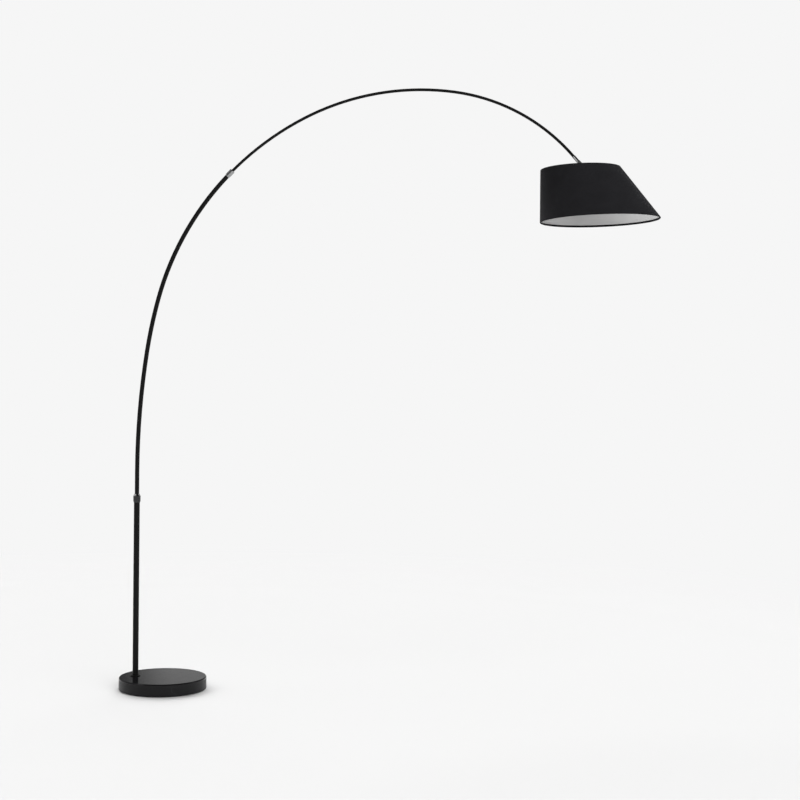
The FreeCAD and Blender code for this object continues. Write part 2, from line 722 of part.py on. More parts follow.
def trunnion_screws():
    """Two short screws, one in each ear, whose plain ends carry the barrel."""
    screws = []
    for side in (-1, 1):
        pin = cross_bar(TRUNNION_DIAMETER / 2, BARREL_WIDTH / 2 - TRUNNION_REACH, EAR_FACE)
        thread = cross_bar(TRUNNION_THREAD / 2, EAR_FACE, FORK_SIDE)
        head = cross_bar(TRUNNION_HEAD_DIAMETER / 2, FORK_SIDE, FORK_SIDE + TRUNNION_HEAD)
        half = TRUNNION_SLOT / 2
        slot = box(-half, half, FORK_SIDE + TRUNNION_HEAD / 2, FORK_SIDE + TRUNNION_HEAD,
                   -TRUNNION_HEAD_DIAMETER, TRUNNION_HEAD_DIAMETER)
        screw = cut(joined([pin, thread, head]), slot)
        if side < 0:
            screw.rotate(V(0, 0, 0), Z_AXIS, 180)
        screws.append(screw)
    pair = Part.makeCompound(screws)
    return on_path(pair, ARM, ARM.length)


def swivel_washers():
    washers = []
    for side in (-1, 1):
        low = BARREL_WIDTH / 2 + FACE_GAP
        low, high = sorted((side * low, side * (low + SWIVEL_WASHER_THICKNESS)))
        ring = cross_bar(BARREL_R, low, high)
        washers.append(ring.cut(cross_bar(TRUNNION_DIAMETER / 2 + RUNNING_FIT, low, high)))
    pair = Part.makeCompound([w.Solids[0] for w in washers])
    return on_path(pair, ARM, ARM.length)


# ---- shade head ----
def lower_knuckle():
    """Hollow barrel with a neck, a collar and the threaded nipple that holds the socket."""
    half = BARREL_WIDTH / 2
    barrel = cross_bar(BARREL_R, -half, half)
    neck = bar(NECK_DIAMETER / 2, -NECK_LENGTH, 0)
    collar = bar(NECK_COLLAR_DIAMETER / 2, CAP_TOP, -NECK_LENGTH)
    nipple = bar(NIPPLE_DIAMETER / 2, CAP_TOP - NIPPLE_LENGTH, CAP_TOP)
    body = joined([barrel, neck, collar, nipple])
    hollow = cross_bar(TRUNNION_DIAMETER / 2 + RUNNING_FIT, -half, half)
    bore = bar(NIPPLE_BORE / 2, CAP_TOP - NIPPLE_LENGTH, 0)
    return on_head(cut(body, hollow, bore, lead_slot()))


def lead_slot():
    """A sector through the barrel's wall that the lead swings in as the shade tilts."""
    reach = 2 * BARREL_R
    width = BARREL_WIDTH - 2 * TRUNNION_REACH
    face = Part.Face(Part.makePolygon([V(0, 0, 0), V(0, 0, reach), V(-reach, 0, reach),
                                       V(-reach, 0, 0), V(0, 0, 0)]))
    quarter = face.extrude(V(0, width, 0))
    quarter.translate(V(0, -width / 2, 0))
    parts = []
    angle = LEAD_SLOT_FROM
    while angle < LEAD_SLOT_TO:
        piece = quarter.copy()
        piece.rotate(V(0, 0, 0), Y_AXIS, -min(angle, LEAD_SLOT_TO - 90))
        parts.append(piece)
        angle += 90
    return joined(parts)


def nipple_nut():
    top = CAP_TOP - CAP_BOSS
    nut = hexagon(NIPPLE_NUT_ACROSS_FLATS, top - NIPPLE_NUT_HEIGHT, NIPPLE_NUT_HEIGHT)
    return on_head(cut(nut, bar(NIPPLE_DIAMETER / 2, top - NIPPLE_NUT_HEIGHT, top)))


def holder_cap():
    outer = CAP_DIAMETER / 2
    shoulder = CAP_TOP - CAP_HEIGHT * 0.4
    brow = CAP_TOP - CAP_HEIGHT * 0.12
    nipple_r = NIPPLE_DIAMETER / 2
    boss = nipple_r + CAP_WALL
    roof = CAP_TOP - CAP_WALL
    inner = outer - CAP_WALL
    body = turned([(nipple_r, CAP_TOP), (CAP_TOP_DIAMETER / 2, CAP_TOP),
                   (outer - CAP_WALL * 1.5, brow), (outer, shoulder), (outer, SHELL_TOP),
                   (inner, SHELL_TOP), (inner, shoulder), (boss + CAP_WALL, roof - CAP_WALL),
                   (boss, roof - CAP_WALL), (boss, CAP_TOP - CAP_BOSS),
                   (nipple_r, CAP_TOP - CAP_BOSS)])
    return on_head(body)


def holder_shell():
    outer = CAP_DIAMETER / 2
    inner = outer - SHELL_WALL
    flange_top = SHELL_TOP - SHELL_FLANGE_DOWN
    body = turned([(inner, SHELL_TOP), (outer, SHELL_TOP), (outer, flange_top),
                   (SHELL_FLANGE_DIAMETER / 2, flange_top),
                   (SHELL_FLANGE_DIAMETER / 2, FLANGE_FOOT), (outer, FLANGE_FOOT),
                   (outer, SHELL_FOOT), (inner, SHELL_FOOT)])
    return on_head(body)


def holder_insert():
    """Ceramic disc across the shell with the terminal block on top."""
    disc_r = CAP_DIAMETER / 2 - SHELL_WALL
    block = bar(BLOCK_DIAMETER / 2, INSERT_TOP, INSERT_TOP + BLOCK_HEIGHT)
    disc = bar(disc_r, INSERT_FOOT, INSERT_TOP)
    body = joined([block, disc])
    holes = [terminal_hole(side) for side in (-1, 1)]
    return on_head(cut(body, *holes))


def terminal_hole(side):
    top = INSERT_TOP + BLOCK_HEIGHT
    hole = bar(TERMINAL_DIAMETER / 2, INSERT_TOP, top)
    hole.translate(V(side * TERMINAL_SPACING / 2, 0, 0))
    return hole


def terminal_screws():
    """Two brass screws in the terminal block, each with the wire's clamp plate under its head."""
    screws = []
    for side in (-1, 1):
        top = INSERT_TOP + BLOCK_HEIGHT
        stem = bar(TERMINAL_DIAMETER / 2, INSERT_TOP, top)
        head = bar(TERMINAL_DIAMETER / 2 + CORE_DIAMETER / 2, top, top + TERMINAL_HEIGHT)
        half = TERMINAL_DIAMETER / 8
        slot = box(-TERMINAL_DIAMETER, TERMINAL_DIAMETER, -half, half,
                   top + TERMINAL_HEIGHT / 2, top + TERMINAL_HEIGHT)
        screw = cut(joined([stem, head]), slot)
        screw.translate(V(side * TERMINAL_SPACING / 2, 0, 0))
        screws.append(screw)
    return on_head(Part.makeCompound(screws))


def screw_shell():
    outer = SCREW_SHELL_DIAMETER / 2
    inner = outer - SCREW_SHELL_WALL
    return on_head(sleeve(outer, inner, INSERT_FOOT - SCREW_SHELL_LENGTH, INSERT_FOOT))


def centre_contact():
    return on_head(bar(CONTACT_DIAMETER / 2, CONTACT_FOOT, INSERT_FOOT))


def shade_ring():
    inner = CAP_DIAMETER / 2
    flange_foot = RING_TOP - SHADE_RING_FLANGE
    foot = RING_TOP - SHADE_RING_HEIGHT
    body = turned([(inner, RING_TOP), (SHADE_RING_DIAMETER / 2, RING_TOP),
                   (SHADE_RING_DIAMETER / 2, flange_foot),
                   (SHADE_RING_BODY_DIAMETER / 2, flange_foot),
                   (SHADE_RING_BODY_DIAMETER / 2, foot), (inner, foot)])
    return on_head(body)


def bulb_cap():
    outer = BULB_CAP_DIAMETER / 2
    tip = BULB_TIP_DIAMETER / 2
    body = turned([(0, BULB_CAP_TOP), (tip, BULB_CAP_TOP),
                   (outer, BULB_CAP_TOP - BULB_TIP_LENGTH * 1.5), (outer, GLASS_TOP),
                   (0, GLASS_TOP)])
    return on_head(body)


def bulb_contact():
    return on_head(bar(BULB_TIP_DIAMETER / 2, BULB_CAP_TOP, BULB_TIP_TOP))


def bulb_outline(inset):
    """Half outline of the glass: neck, flare by a curve, round end."""
    ball_r = BULB_DIAMETER / 2 - inset
    centre_z = BULB_FOOT + BULB_DIAMETER / 2
    neck_r = BULB_NECK_DIAMETER / 2 - inset
    flare = Part.BezierCurve()
    flare.setPoles([V(neck_r, 0, GLASS_TOP), V(neck_r, 0, GLASS_TOP - BULB_GLASS_LENGTH * 0.22),
                    V(ball_r, 0, centre_z + BULB_DIAMETER * 0.42), V(ball_r, 0, centre_z)])
    low = V(ball_r * math.sqrt(0.5), 0, centre_z - ball_r * math.sqrt(0.5))
    end = Part.Arc(V(ball_r, 0, centre_z), low, V(0, 0, centre_z - ball_r))
    return [flare.toShape(), end.toShape()]


def bulb_envelope():
    """Opal glass, open at the neck where the cap closes it."""
    outer = bulb_outline(0.0)
    inner = bulb_outline(BULB_WALL)
    tip = Part.makeLine(outer[1].Vertexes[-1].Point, inner[1].Vertexes[-1].Point)
    neck = Part.makeLine(outer[0].Vertexes[0].Point, inner[0].Vertexes[0].Point)
    wire = Part.Wire(Part.__sortEdges__(outer + inner + [tip, neck]))
    return on_head(Part.Face(wire).revolve(V(0, 0, 0), Z_AXIS, 360).Solids[0])


# ---- shade ----
def slanted_drum(inset):
    """The shade's outer form drawn in by inset: two level circles joined by straight lines."""
    top = Part.makeCircle(SHADE_TOP_DIAMETER / 2 - inset, V(0, 0, RIM_TOP))
    foot = Part.makeCircle(SHADE_BOTTOM_DIAMETER / 2 - inset, V(SHADE_SHIFT, 0, RIM_FOOT))
    return Part.makeLoft([Part.Wire(foot), Part.Wire(top)], True, True)


def shade_cover():
    return on_head(cut(slanted_drum(0.0), slanted_drum(SKIN)))


def shade_liner():
    inset = SKIN + GLUE_GAP
    return on_head(cut(slanted_drum(inset), slanted_drum(inset + LINING)))


def wall_at(height, side):
    """Where the shade's outer wall stands in the plane y = 0, and its lean, at a height."""
    top = side * SHADE_TOP_DIAMETER / 2
    foot = SHADE_SHIFT + side * SHADE_BOTTOM_DIAMETER / 2
    lean = (top - foot) / SHADE_HEIGHT
    return foot + lean * (height - RIM_FOOT), lean


def hoop_circle(height):
    """Centre and radius of a wire hoop that lies against the lining at a height."""
    sides = []
    for side in (-1, 1):
        wall, lean = wall_at(height, side)
        across = (HOOP_WIRE / 2 + GLUE_GAP) * math.sqrt(1 + lean ** 2)
        sides.append(wall - side * (SKIN + GLUE_GAP + LINING + across))
    return (sides[0] + sides[1]) / 2, (sides[1] - sides[0]) / 2


def hoop(height):
    centre, radius = hoop_circle(height)
    return Part.makeTorus(radius, HOOP_WIRE / 2, V(centre, 0, height))


TOP_HOOP_LEVEL = RIM_TOP - GLUE_GAP - HOOP_WIRE / 2
BOTTOM_HOOP_LEVEL = RIM_FOOT + GLUE_GAP + HOOP_WIRE / 2


def bottom_hoop():
    return on_head(hoop(BOTTOM_HOOP_LEVEL))


def arm_wires(radius):
    """The carrier's arms: level where they lie on the plate, then rising to the top hoop."""
    centre, ring_r = hoop_circle(TOP_HOOP_LEVEL)
    level = PLATE_TOP + ARM_WIRE / 3
    arms = []
    for k in range(ARM_COUNT):
        angle = math.radians(360 * k / ARM_COUNT)
        out = V(math.cos(angle), math.sin(angle), 0)
        tip = V(centre, 0, TOP_HOOP_LEVEL) + out * ring_r
        start = out * (SHELL_FLANGE_DIAMETER / 2 + ARM_WIRE / 2) + V(0, 0, level)
        knee = out * ARM_KNEE + V(0, 0, level)
        arms.append(pipe([start, knee, tip], [ARM_BEND], radius))
    return arms


def shade_carrier():
    """Plate on the lampholder, arms and top hoop, welded into one piece."""
    plate = sleeve(CARRIER_PLATE_DIAMETER / 2, CAP_DIAMETER / 2 + RUNNING_FIT,
                   PLATE_FOOT, PLATE_TOP)
    return on_head(joined([plate, hoop(TOP_HOOP_LEVEL)] + arm_wires(ARM_WIRE / 2)))


def hem_profile(radius):
    """A strip over the hoop's outer side and down its inner side, for a hoop above it."""
    inner = radius - HOOP_WIRE / 2 - GLUE_GAP
    outer = radius + HOOP_WIRE / 2
    return [(inner - HEM, -HEM), (outer, -HEM), (outer, 0), (inner, 0), (inner, HEM_HEIGHT),
            (inner - HEM, HEM_HEIGHT)]


def bottom_hem():
    centre, radius = hoop_circle(BOTTOM_HOOP_LEVEL)
    strip = turned(hem_profile(radius))
    strip.translate(V(centre, 0, RIM_FOOT))
    return on_head(strip)


def top_hem():
    """As the bottom hem, the other way up, notched where the carrier's arms pass."""
    centre, radius = hoop_circle(TOP_HOOP_LEVEL)
    strip = turned([(r, -z) for r, z in hem_profile(radius)])
    strip.translate(V(centre, 0, RIM_TOP))
    return on_head(cut(strip, *arm_wires(ARM_WIRE / 2 + FREE_GAP)))


# ---- internal lead ----
def stand_lead_route():
    """From the grommet along the channel, then up through the stud to the mast's foot."""
    start = rim_on_channel() - GROMMET_INSET - GROMMET_LENGTH
    top = SOCKET_TOP - MAST_INSERT - BUSH_LIP
    return [V(-POLE_OFFSET, start, LEAD_LEVEL), V(-POLE_OFFSET, 0, LEAD_LEVEL),
            V(-POLE_OFFSET, 0, top)]


def stand_lead():
    return pipe(stand_lead_route(), [LEAD_BEND], LEAD_R)


def mast_lead():
    return joined([on_path(bar(LEAD_R, -BUSH_LIP, 0), ARM, 0),
                   ARM.swept(0, BOOM_FOOT - BUSH_LIP, LEAD_R)])


def boom_lead():
    return ARM.swept(BOOM_FOOT - BUSH_LIP, ARM.length - DROP_START, LEAD_R)


def drop_lead_route():
    """Through the swivel: down the boom's end axis, then down the nipple."""
    heading = ARM.end[1]
    down = V(math.sin(math.radians(HEAD_TILT)), 0, -math.cos(math.radians(HEAD_TILT)))
    sheath_end = -CAP_TOP + NIPPLE_LENGTH
    return [PIVOT - direction(heading) * DROP_START, PIVOT, PIVOT + down * sheath_end]


def drop_lead():
    return pipe(drop_lead_route(), [DROP_BEND], LEAD_R)


def lead_cores():
    """The two insulated cores from the sheath's end to the terminals."""
    sheath_end = CAP_TOP - NIPPLE_LENGTH
    block_top = INSERT_TOP + BLOCK_HEIGHT + TERMINAL_HEIGHT
    knee = (sheath_end + block_top) / 2
    cores = []
    for side in (-1, 1):
        near = side * CORE_SPREAD
        far = side * TERMINAL_SPACING / 2
        points = [V(near, 0, sheath_end), V(near, 0, knee), V(far, 0, knee - CORE_STEP),
                  V(far, 0, block_top)]
        cores.append(pipe(points, [CORE_BEND / 2, CORE_BEND / 2], CORE_DIAMETER / 2))
    return on_head(Part.makeCompound(cores))


NODES = (
    base_disc, foot_pad, lead_grommet, lead_clamp, pole_flange, pole_stud, stud_washer,
    spring_washer, stud_nut, pole_foot_plug, lower_pole, pole_top_socket, lower_lock_ring,
    lower_collet, mid_tube, mast_guide_bush, mast_top_socket, upper_collet, upper_lock_ring,
    upper_rod, boom_guide_bush, upper_knuckle, trunnion_screws, swivel_washers, lower_knuckle,
    nipple_nut, holder_cap, holder_shell, holder_insert, terminal_screws, screw_shell,
    centre_contact, shade_ring, shade_carrier, bottom_hoop, shade_cover, shade_liner, top_hem,
    bottom_hem, bulb_cap, bulb_contact, bulb_envelope, stand_lead, mast_lead, boom_lead,
    drop_lead, lead_cores,
)


def report(name, shape):
    size = shape.BoundBox
    print("%-18s solids %d valid %s volume %.1f  x %.1f %.1f  y %.1f %.1f  z %.1f %.1f" % (
        name, len(shape.Solids), shape.isValid(), shape.Volume, size.XMin, size.XMax,
        size.YMin, size.YMax, size.ZMin, size.ZMax))


def report_lead(shapes):
    """The lead's volume against its section times its length, and the joint's places."""
    section = math.pi * LEAD_R ** 2
    lengths = {
        "stand_lead": pipe_length(stand_lead_route(), [LEAD_BEND]),
        "mast_lead": BOOM_FOOT,
        "boom_lead": ARM.length - DROP_START - BOOM_FOOT + BUSH_LIP,
        "drop_lead": pipe_length(drop_lead_route(), [DROP_BEND]),
    }
    for name, length in lengths.items():
        print("%s length %.1f volume ratio %.4f" % (
            name, length, shapes[name].Volume / (section * length)))
    print("lead total %.0f, bends %.1f and %.1f" % (
        sum(lengths.values()), LEAD_BEND, DROP_BEND))
    joint, heading = ARM.at(UPPER_JOINT)
    print("slide centre %.4f %.4f" % (SLIDE_CENTRE.x, SLIDE_CENTRE.z))
    print("upper joint %.4f %.4f heading %.4f" % (joint.x, joint.z, heading))
    print("sleeve mouth %s" % (ARM.at(SLEEVE_MOUTH),))
    print("pivot %.4f %.4f" % (PIVOT.x, PIVOT.z))


def main():
    os.makedirs("parts", exist_ok=True)
    shapes = {}
    for make in NODES:
        shape = make()
        shapes[make.__name__] = shape
        report(make.__name__, shape)
        shape.exportStep(os.path.join("parts", make.__name__ + ".step"))
    report_lead(shapes)


main()
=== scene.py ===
"""Looks of the arc floor lamp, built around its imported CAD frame.

Metres, +Z up, +X the way the arm reaches.  The CAD nodes keep their shapes and get
procedural finishes.  The shade's cloth and lining, the felt pad, the lampholder's skirt
and its ring are surfaces worked out here, and they stand for the plain solids.
"""

import bpy
import json
import math
import numpy as np
from mathutils import Euler, Matrix, Vector


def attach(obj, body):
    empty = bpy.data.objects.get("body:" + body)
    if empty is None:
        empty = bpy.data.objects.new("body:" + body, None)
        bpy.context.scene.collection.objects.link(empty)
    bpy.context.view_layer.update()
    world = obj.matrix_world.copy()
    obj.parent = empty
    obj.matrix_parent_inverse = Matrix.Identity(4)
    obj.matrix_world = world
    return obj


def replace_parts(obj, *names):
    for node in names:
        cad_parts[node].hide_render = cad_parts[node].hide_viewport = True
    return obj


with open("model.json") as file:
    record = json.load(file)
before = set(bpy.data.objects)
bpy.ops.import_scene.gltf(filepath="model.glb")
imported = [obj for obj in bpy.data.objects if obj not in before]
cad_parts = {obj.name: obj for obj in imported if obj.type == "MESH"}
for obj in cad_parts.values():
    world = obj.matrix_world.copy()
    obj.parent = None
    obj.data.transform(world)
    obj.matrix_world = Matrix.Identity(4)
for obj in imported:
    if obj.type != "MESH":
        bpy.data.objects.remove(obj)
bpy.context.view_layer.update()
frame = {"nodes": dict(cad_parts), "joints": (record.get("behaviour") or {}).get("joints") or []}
scene = bpy.context.scene
MM = 0.001

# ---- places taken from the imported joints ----
JOINTS = {joint["name"]: joint for joint in frame["joints"]}
PIVOT = np.array(JOINTS["shade_tilt"]["pos_m"])
UPPER_JOINT = np.array(JOINTS["upper_ring_turn"]["pos_m"])
POLE_AXIS = np.array(JOINTS["arm_swivel"]["pos_m"])
HEAD_TILT = 2.1           # degrees, the shade's +X side up
# Headings are degrees up from +X, in the arm's plane.
UPRIGHT = 90.0
HEAD_HEADING = UPRIGHT + HEAD_TILT   # up the lampholder
JOINT_HEADING = 46.3449              # along the arm at the upper joint
SWIVEL_HEADING = -48.6381            # along the swivel's sleeve

# ---- shade, millimetres in the head's frame: origin at the swivel's pivot ----
TOP_RADIUS, FOOT_RADIUS = 137.5, 208.0
TOP_LEVEL, FOOT_LEVEL = -16.0, -197.0
FOOT_SHIFT = 64.5         # the foot circle's centre, out from the top circle's
SKIN, GLUE, LINING = 0.8, 0.1, 0.5   # the wall's thicknesses, measured level
WIRE, WIRE_GAP = 1.5, 0.1  # a hoop wire's radius, and the air beside it
ARM_ANGLES = (0.0, 120.0, 240.0)     # degrees round the shade from +X

# ---- the shade's cloth ----
CLOTH = 0.5               # cloth alone, where it turns round a wire
TURN_END = 235.0          # degrees round the wire from the way out, where it leaves it
TUCK_GAP = 0.02           # air between the cloth's edge and the lining
TUCK_LEVEL = 5.0          # cloth's edge, past the wire's centre on the lining
THINNED_BY = 80.0         # degrees round the wire, where the wall has thinned to cloth
SEAM = 150.0              # degrees round the shade from +X
LAP_WIDTH, LAP_HEIGHT = 11.0, 0.4
LAP_RISE, LAP_END = (0.05, 0.15), 2.5   # how soon a lap rises, how softly it ends
NOTCH_HALF = 2.6          # cloth left out each side of an arm's axis
NOTCH_SIDE = (0.95, 1.1)  # a notch's side begins and ends, in its half width
NOTCH_LEFT = 0.22         # share of the turn-in left in a notch
# Waves of the laid cloth: how many round, radians per millimetre up, start, share.
WAVES = ((5, 0.031, 0, 1), (11, -0.05, 1.3, 0.7), (23, 0.09, 0.4, 0.5))
WAVE_HEIGHT = 0.07        # from the wall to the middle of the waves

# ---- the shade's lining ----
FILM_SEAM, FILM_LAP_WIDTH, FILM_LAP_HEIGHT = 162.0, 9.0, 0.35

# ---- how finely the surfaces are cut ----
ROUND_STEPS = 360
SEAM_SPOTS = (0.03, 0.1, 0.25, 0.5, 359.9, 359.97)   # degrees on from the seam
LAP_STEPS, LAP_PAST = 16, 0.02                       # to the lap's end, radians past it
ARM_SPOTS = (-1.25, -1.1, -1, -0.85, 0, 0.85, 1, 1.1, 1.25)   # in a notch's half widths
BEND_STEPS, TURN_STEPS, BACK_STEPS, TUCK_STEPS = 9, 40, 30, 22
CLIMB_STEPS, FILM_STEPS = 28, 26
SHELL_STEPS, THREAD_STEPS, RIB_STEPS = 96, 76, 8
BEAD_STEPS, BEAD_SECTION, FELT_STEPS = 40, 16, 180

# ---- lampholder and its ring ----
SHELL_TOP, SHELL_FOOT = -36.0, -72.0
SHELL_RADIUS, SHELL_BORE = 19.5, 17.0
FLANGE_RADIUS, FLANGE_TOP, FLANGE_FOOT = 22.5, -51.0, -54.0
CORNER, FLANGE_CORNER, FILLET = 0.3, 0.5, 0.4        # how much its corners are broken
THREAD_PITCH, THREAD_DEPTH, THREAD_SINK = 3.0, 0.8, 0.05
THREAD_RUN = (FLANGE_FOOT - 0.6, SHELL_FOOT + 0.4)   # levels
THREAD_STARTS = (FLANGE_FOOT - 0.8, FLANGE_FOOT - 3)
THREAD_ENDS = (SHELL_FOOT + 0.4, SHELL_FOOT + 2.5)
RING_TOP, RING_STEP, RING_FOOT = -55.6, -57.6, -63.6
RING_RIM, RING_BODY, RING_CHAMFER = 27.0, 23.0, 1.0
RING_FIT = 0.05           # air between the ring and the shell
RING_RIBS, RIB_DEPTH = 30, 0.7
RIB_ENDS = (0.6, 0.9)     # full depth this far below the step to this far above the foot

# ---- welds between the carrier's arms and the top hoop ----
ARM_KNEE, ARM_LEVEL = 40.0, -53.05           # where an arm turns up
BEAD_THICK, BEAD_SINK, BEAD_BACK = 0.75, 0.1, 0.6
BEAD_WANDER = ((0.12, 3, 1), (0.08, 7, 2))   # size, waves round, turns for each arm
BEAD_STRETCH = 1.1        # longer along the arm than it is thick

# ---- felt pad ----
PAD_RADIUS, PAD_THICKNESS = 144.0, 2.0
PAD_SHRINK = 0.6          # so that the ragged edge stays inside the pad's radius
RAGGED = ((0.25, 17, 0), (0.2, 31, 1), (0.15, 59, 0))   # size, waves round, start
# The felt's half section: share of its radius, share of its thickness.
FELT_SECTION = ((0.2, 0.0), (0.6, 0.0), (0.9, 0.0), (0.985, 0.02), (0.996, 0.12),
                (1.0, 0.35), (1.0, 0.65), (0.996, 0.88), (0.985, 0.98), (0.9, 1.0),
                (0.6, 1.0), (0.2, 1.0))

# ---- where finishes change, metres ----
THREAD = 0.00055          # from one thread of the weave to the next
HONED_TO = (0.036, 0.041)  # up the stone's side, where its polish begins
RING_SHOULDER = 0.6672    # up the pole, where the lower lock ring's cone begins

# ---- camera ----
CAMERA_AT = (0.81079, -5.07346, 1.05422)
CAMERA_PITCH, CAMERA_ROLL = -0.523, 0.596   # degrees
LENS, SENSOR = 66.09, 36.0                  # millimetres

# ---- ground and backdrop, tones in linear light ----
GROUND_HALF = 30.0        # metres from the middle to the ground's side
BACKDROP = 0.9216         # tone of the pale ground and wall
FLOOR_SHADE = 0.46        # how much of the floor's tone comes from the lamps
FLOOR_LIT = 1.975         # a white floor's tone under the lamps
FLOOR_BOUNCE = 0.3        # how much light the floor sends back up
SHADOW_REACH = (2.6, 4.2)  # metres out, where the floor's shadows fade away
ROOM_LIGHT = 0.1          # the room's own light on the object

# ---- the room in polish and metal: ways are sines, right, back or up ----
HALF_RISE = 0.15          # how steeply up, at the back, the room is half as bright
FRONT_RISE = 0.3          # share of that in front, where the room darkens sooner
FRONT_TO_BACK = (-0.4, 0.2)
LEFT_GLOW = 0.30          # a big soft light high at the left
GLOW_WAY = (-0.1, -0.6)   # where it begins and where it is full

# ---- the graded card behind the lamp, metres ----
CARD_ACROSS, CARD_UPWARD, CARD_BEHIND = (-2.6, 0.8), (0.3, 1.1), 3.0
CARD_TURNING = (-0.76, -0.40)   # across, where it turns from dim to pale
CARD_FADING = (0.52, 0.80)      # upward, where it fades
CARD_TOP = 0.7                  # how pale it still is above that
CARD_DIM, CARD_PALE = 0.07, 0.50

# ---- lamps: name, the way to it, strength, degrees across, whether polish shows it ----
LAMPS = (
    ("front_lamp", (0.4, -0.7, 0.59), 2.5, 60, False),
    ("right_lamp", (0.55, -0.75, 0.2), 2.3, 50, False),
    ("back_lamp", (-0.1, 0.78, 0.62), 4.5, 55, False),
    ("left_back_lamp", (-0.72, 0.2, 0.62), 1.3, 45, False),
    ("high_left_spark", (-0.55, 0.03, 0.83), 0.3, 14, True),
    ("left_spark", (-0.72, -0.6, 0.34), 0.1, 18, True),
    ("right_spark", (0.86, 0.3, 0.42), 0.12, 18, True),
)

# ---- the pool of light on the shade's lining, at its far tip ----
POOL_AT, POOL_AIM = (0.2, -0.3, 1.1), (1.65, 0.05, 1.665)   # metres
POOL_POWER, POOL_SPREAD, POOL_WIDTH = 58, 19, 0.2           # watts, degrees, metres


# ======================================================================
# Camera, ground and light
# ======================================================================
def put(name, data):
    """A new object, in the scene."""
    thing = bpy.data.objects.new(name, data)
    scene.collection.objects.link(thing)
    return thing


def quad(name, corners, finish):
    """A new object of one four-cornered face."""
    mesh = bpy.data.meshes.new(name)
    mesh.from_pydata(corners, [], [(0, 1, 2, 3)])
    mesh.materials.append(finish)
    return put(name, mesh)


def camera():
    """Looks along +Y, pitched down a little and rolled a little."""
    pitch, roll = math.radians(CAMERA_PITCH), math.radians(CAMERA_ROLL)
    forward = Vector((0, math.cos(pitch), math.sin(pitch)))
    level = Vector((1, 0, 0))
    up = level.cross(forward)
    right = level * math.cos(roll) + up * math.sin(roll)
    up = up * math.cos(roll) - level * math.sin(roll)
    lens = bpy.data.cameras.new("camera")
    lens.lens, lens.sensor_width = LENS, SENSOR
    eye = put("camera", lens)
    eye.matrix_world = Matrix.Translation(CAMERA_AT) @ Matrix(
        (right, up, -forward)).transposed().to_4x4()
    scene.camera = eye


class Term:
    """A socket in a shader's maths.  + - * / and ** on it add a Math node each."""

    def __init__(self, finish, socket):
        self.finish, self.socket = finish, socket


def maths(operation, swapped=False):
    """A method of Term that adds one Math node, with the Term second where swapped."""
    def method(term, other):
        pair = (other, term) if swapped else (term, other)
        return term.finish.node("ShaderNodeMath", {"operation": operation},
                                {0: pair[0], 1: pair[1]})
    return method


for sign, operation in (("add", "ADD"), ("sub", "SUBTRACT"), ("mul", "MULTIPLY"),
                        ("truediv", "DIVIDE"), ("pow", "POWER")):
    setattr(Term, "__%s__" % sign, maths(operation))
    setattr(Term, "__r%s__" % sign, maths(operation, swapped=True))


class Nodes:
    """A node tree: calls that add nodes and give back Terms."""

    def __init__(self, tree):
        self.tree, self.nodes = tree, tree.nodes

    def node(self, kind, settings=None, inputs=None, out=0):
        """Adds a node: its settings first, then its sockets' values or links."""
        added = self.nodes.new(kind)
        for name, value in (settings or {}).items():
            setattr(added, name, value)
        for key, value in (inputs or {}).items():
            self.join(value, added.inputs[key])
        return Term(self, added.outputs[out])

    def join(self, value, socket):
        """Links a Term to a socket, or sets the socket's value."""
        if isinstance(value, Term):
            self.tree.links.new(value.socket, socket)
        else:
            socket.default_value = value

    def outputs(self, kind):
        """Adds a node and gives all its outputs, by name."""
        return {o.name: Term(self, o) for o in self.nodes.new(kind).outputs}

    def axes(self, where):
        """The three parts of a place."""
        split = self.node("ShaderNodeSeparateXYZ", None, {0: where}).socket.node
        return [Term(self, socket) for socket in split.outputs]

    def seen(self, rays):
        """1 for rays from the camera, from a mirror or through glass, and 0 for light."""
        total = rays["Is Camera Ray"] + rays["Is Glossy Ray"] + rays["Is Transmission Ray"]
        return self.node("ShaderNodeClamp", None, {"Value": total})

    def span(self, value, low, high, start=0.0, end=1.0):
        """value from low..high taken smoothly to start..end."""
        return self.node("ShaderNodeMapRange", {"interpolation_type": "SMOOTHSTEP"}, {
            "Value": value, "From Min": low, "From Max": high, "To Min": start, "To Max": end})


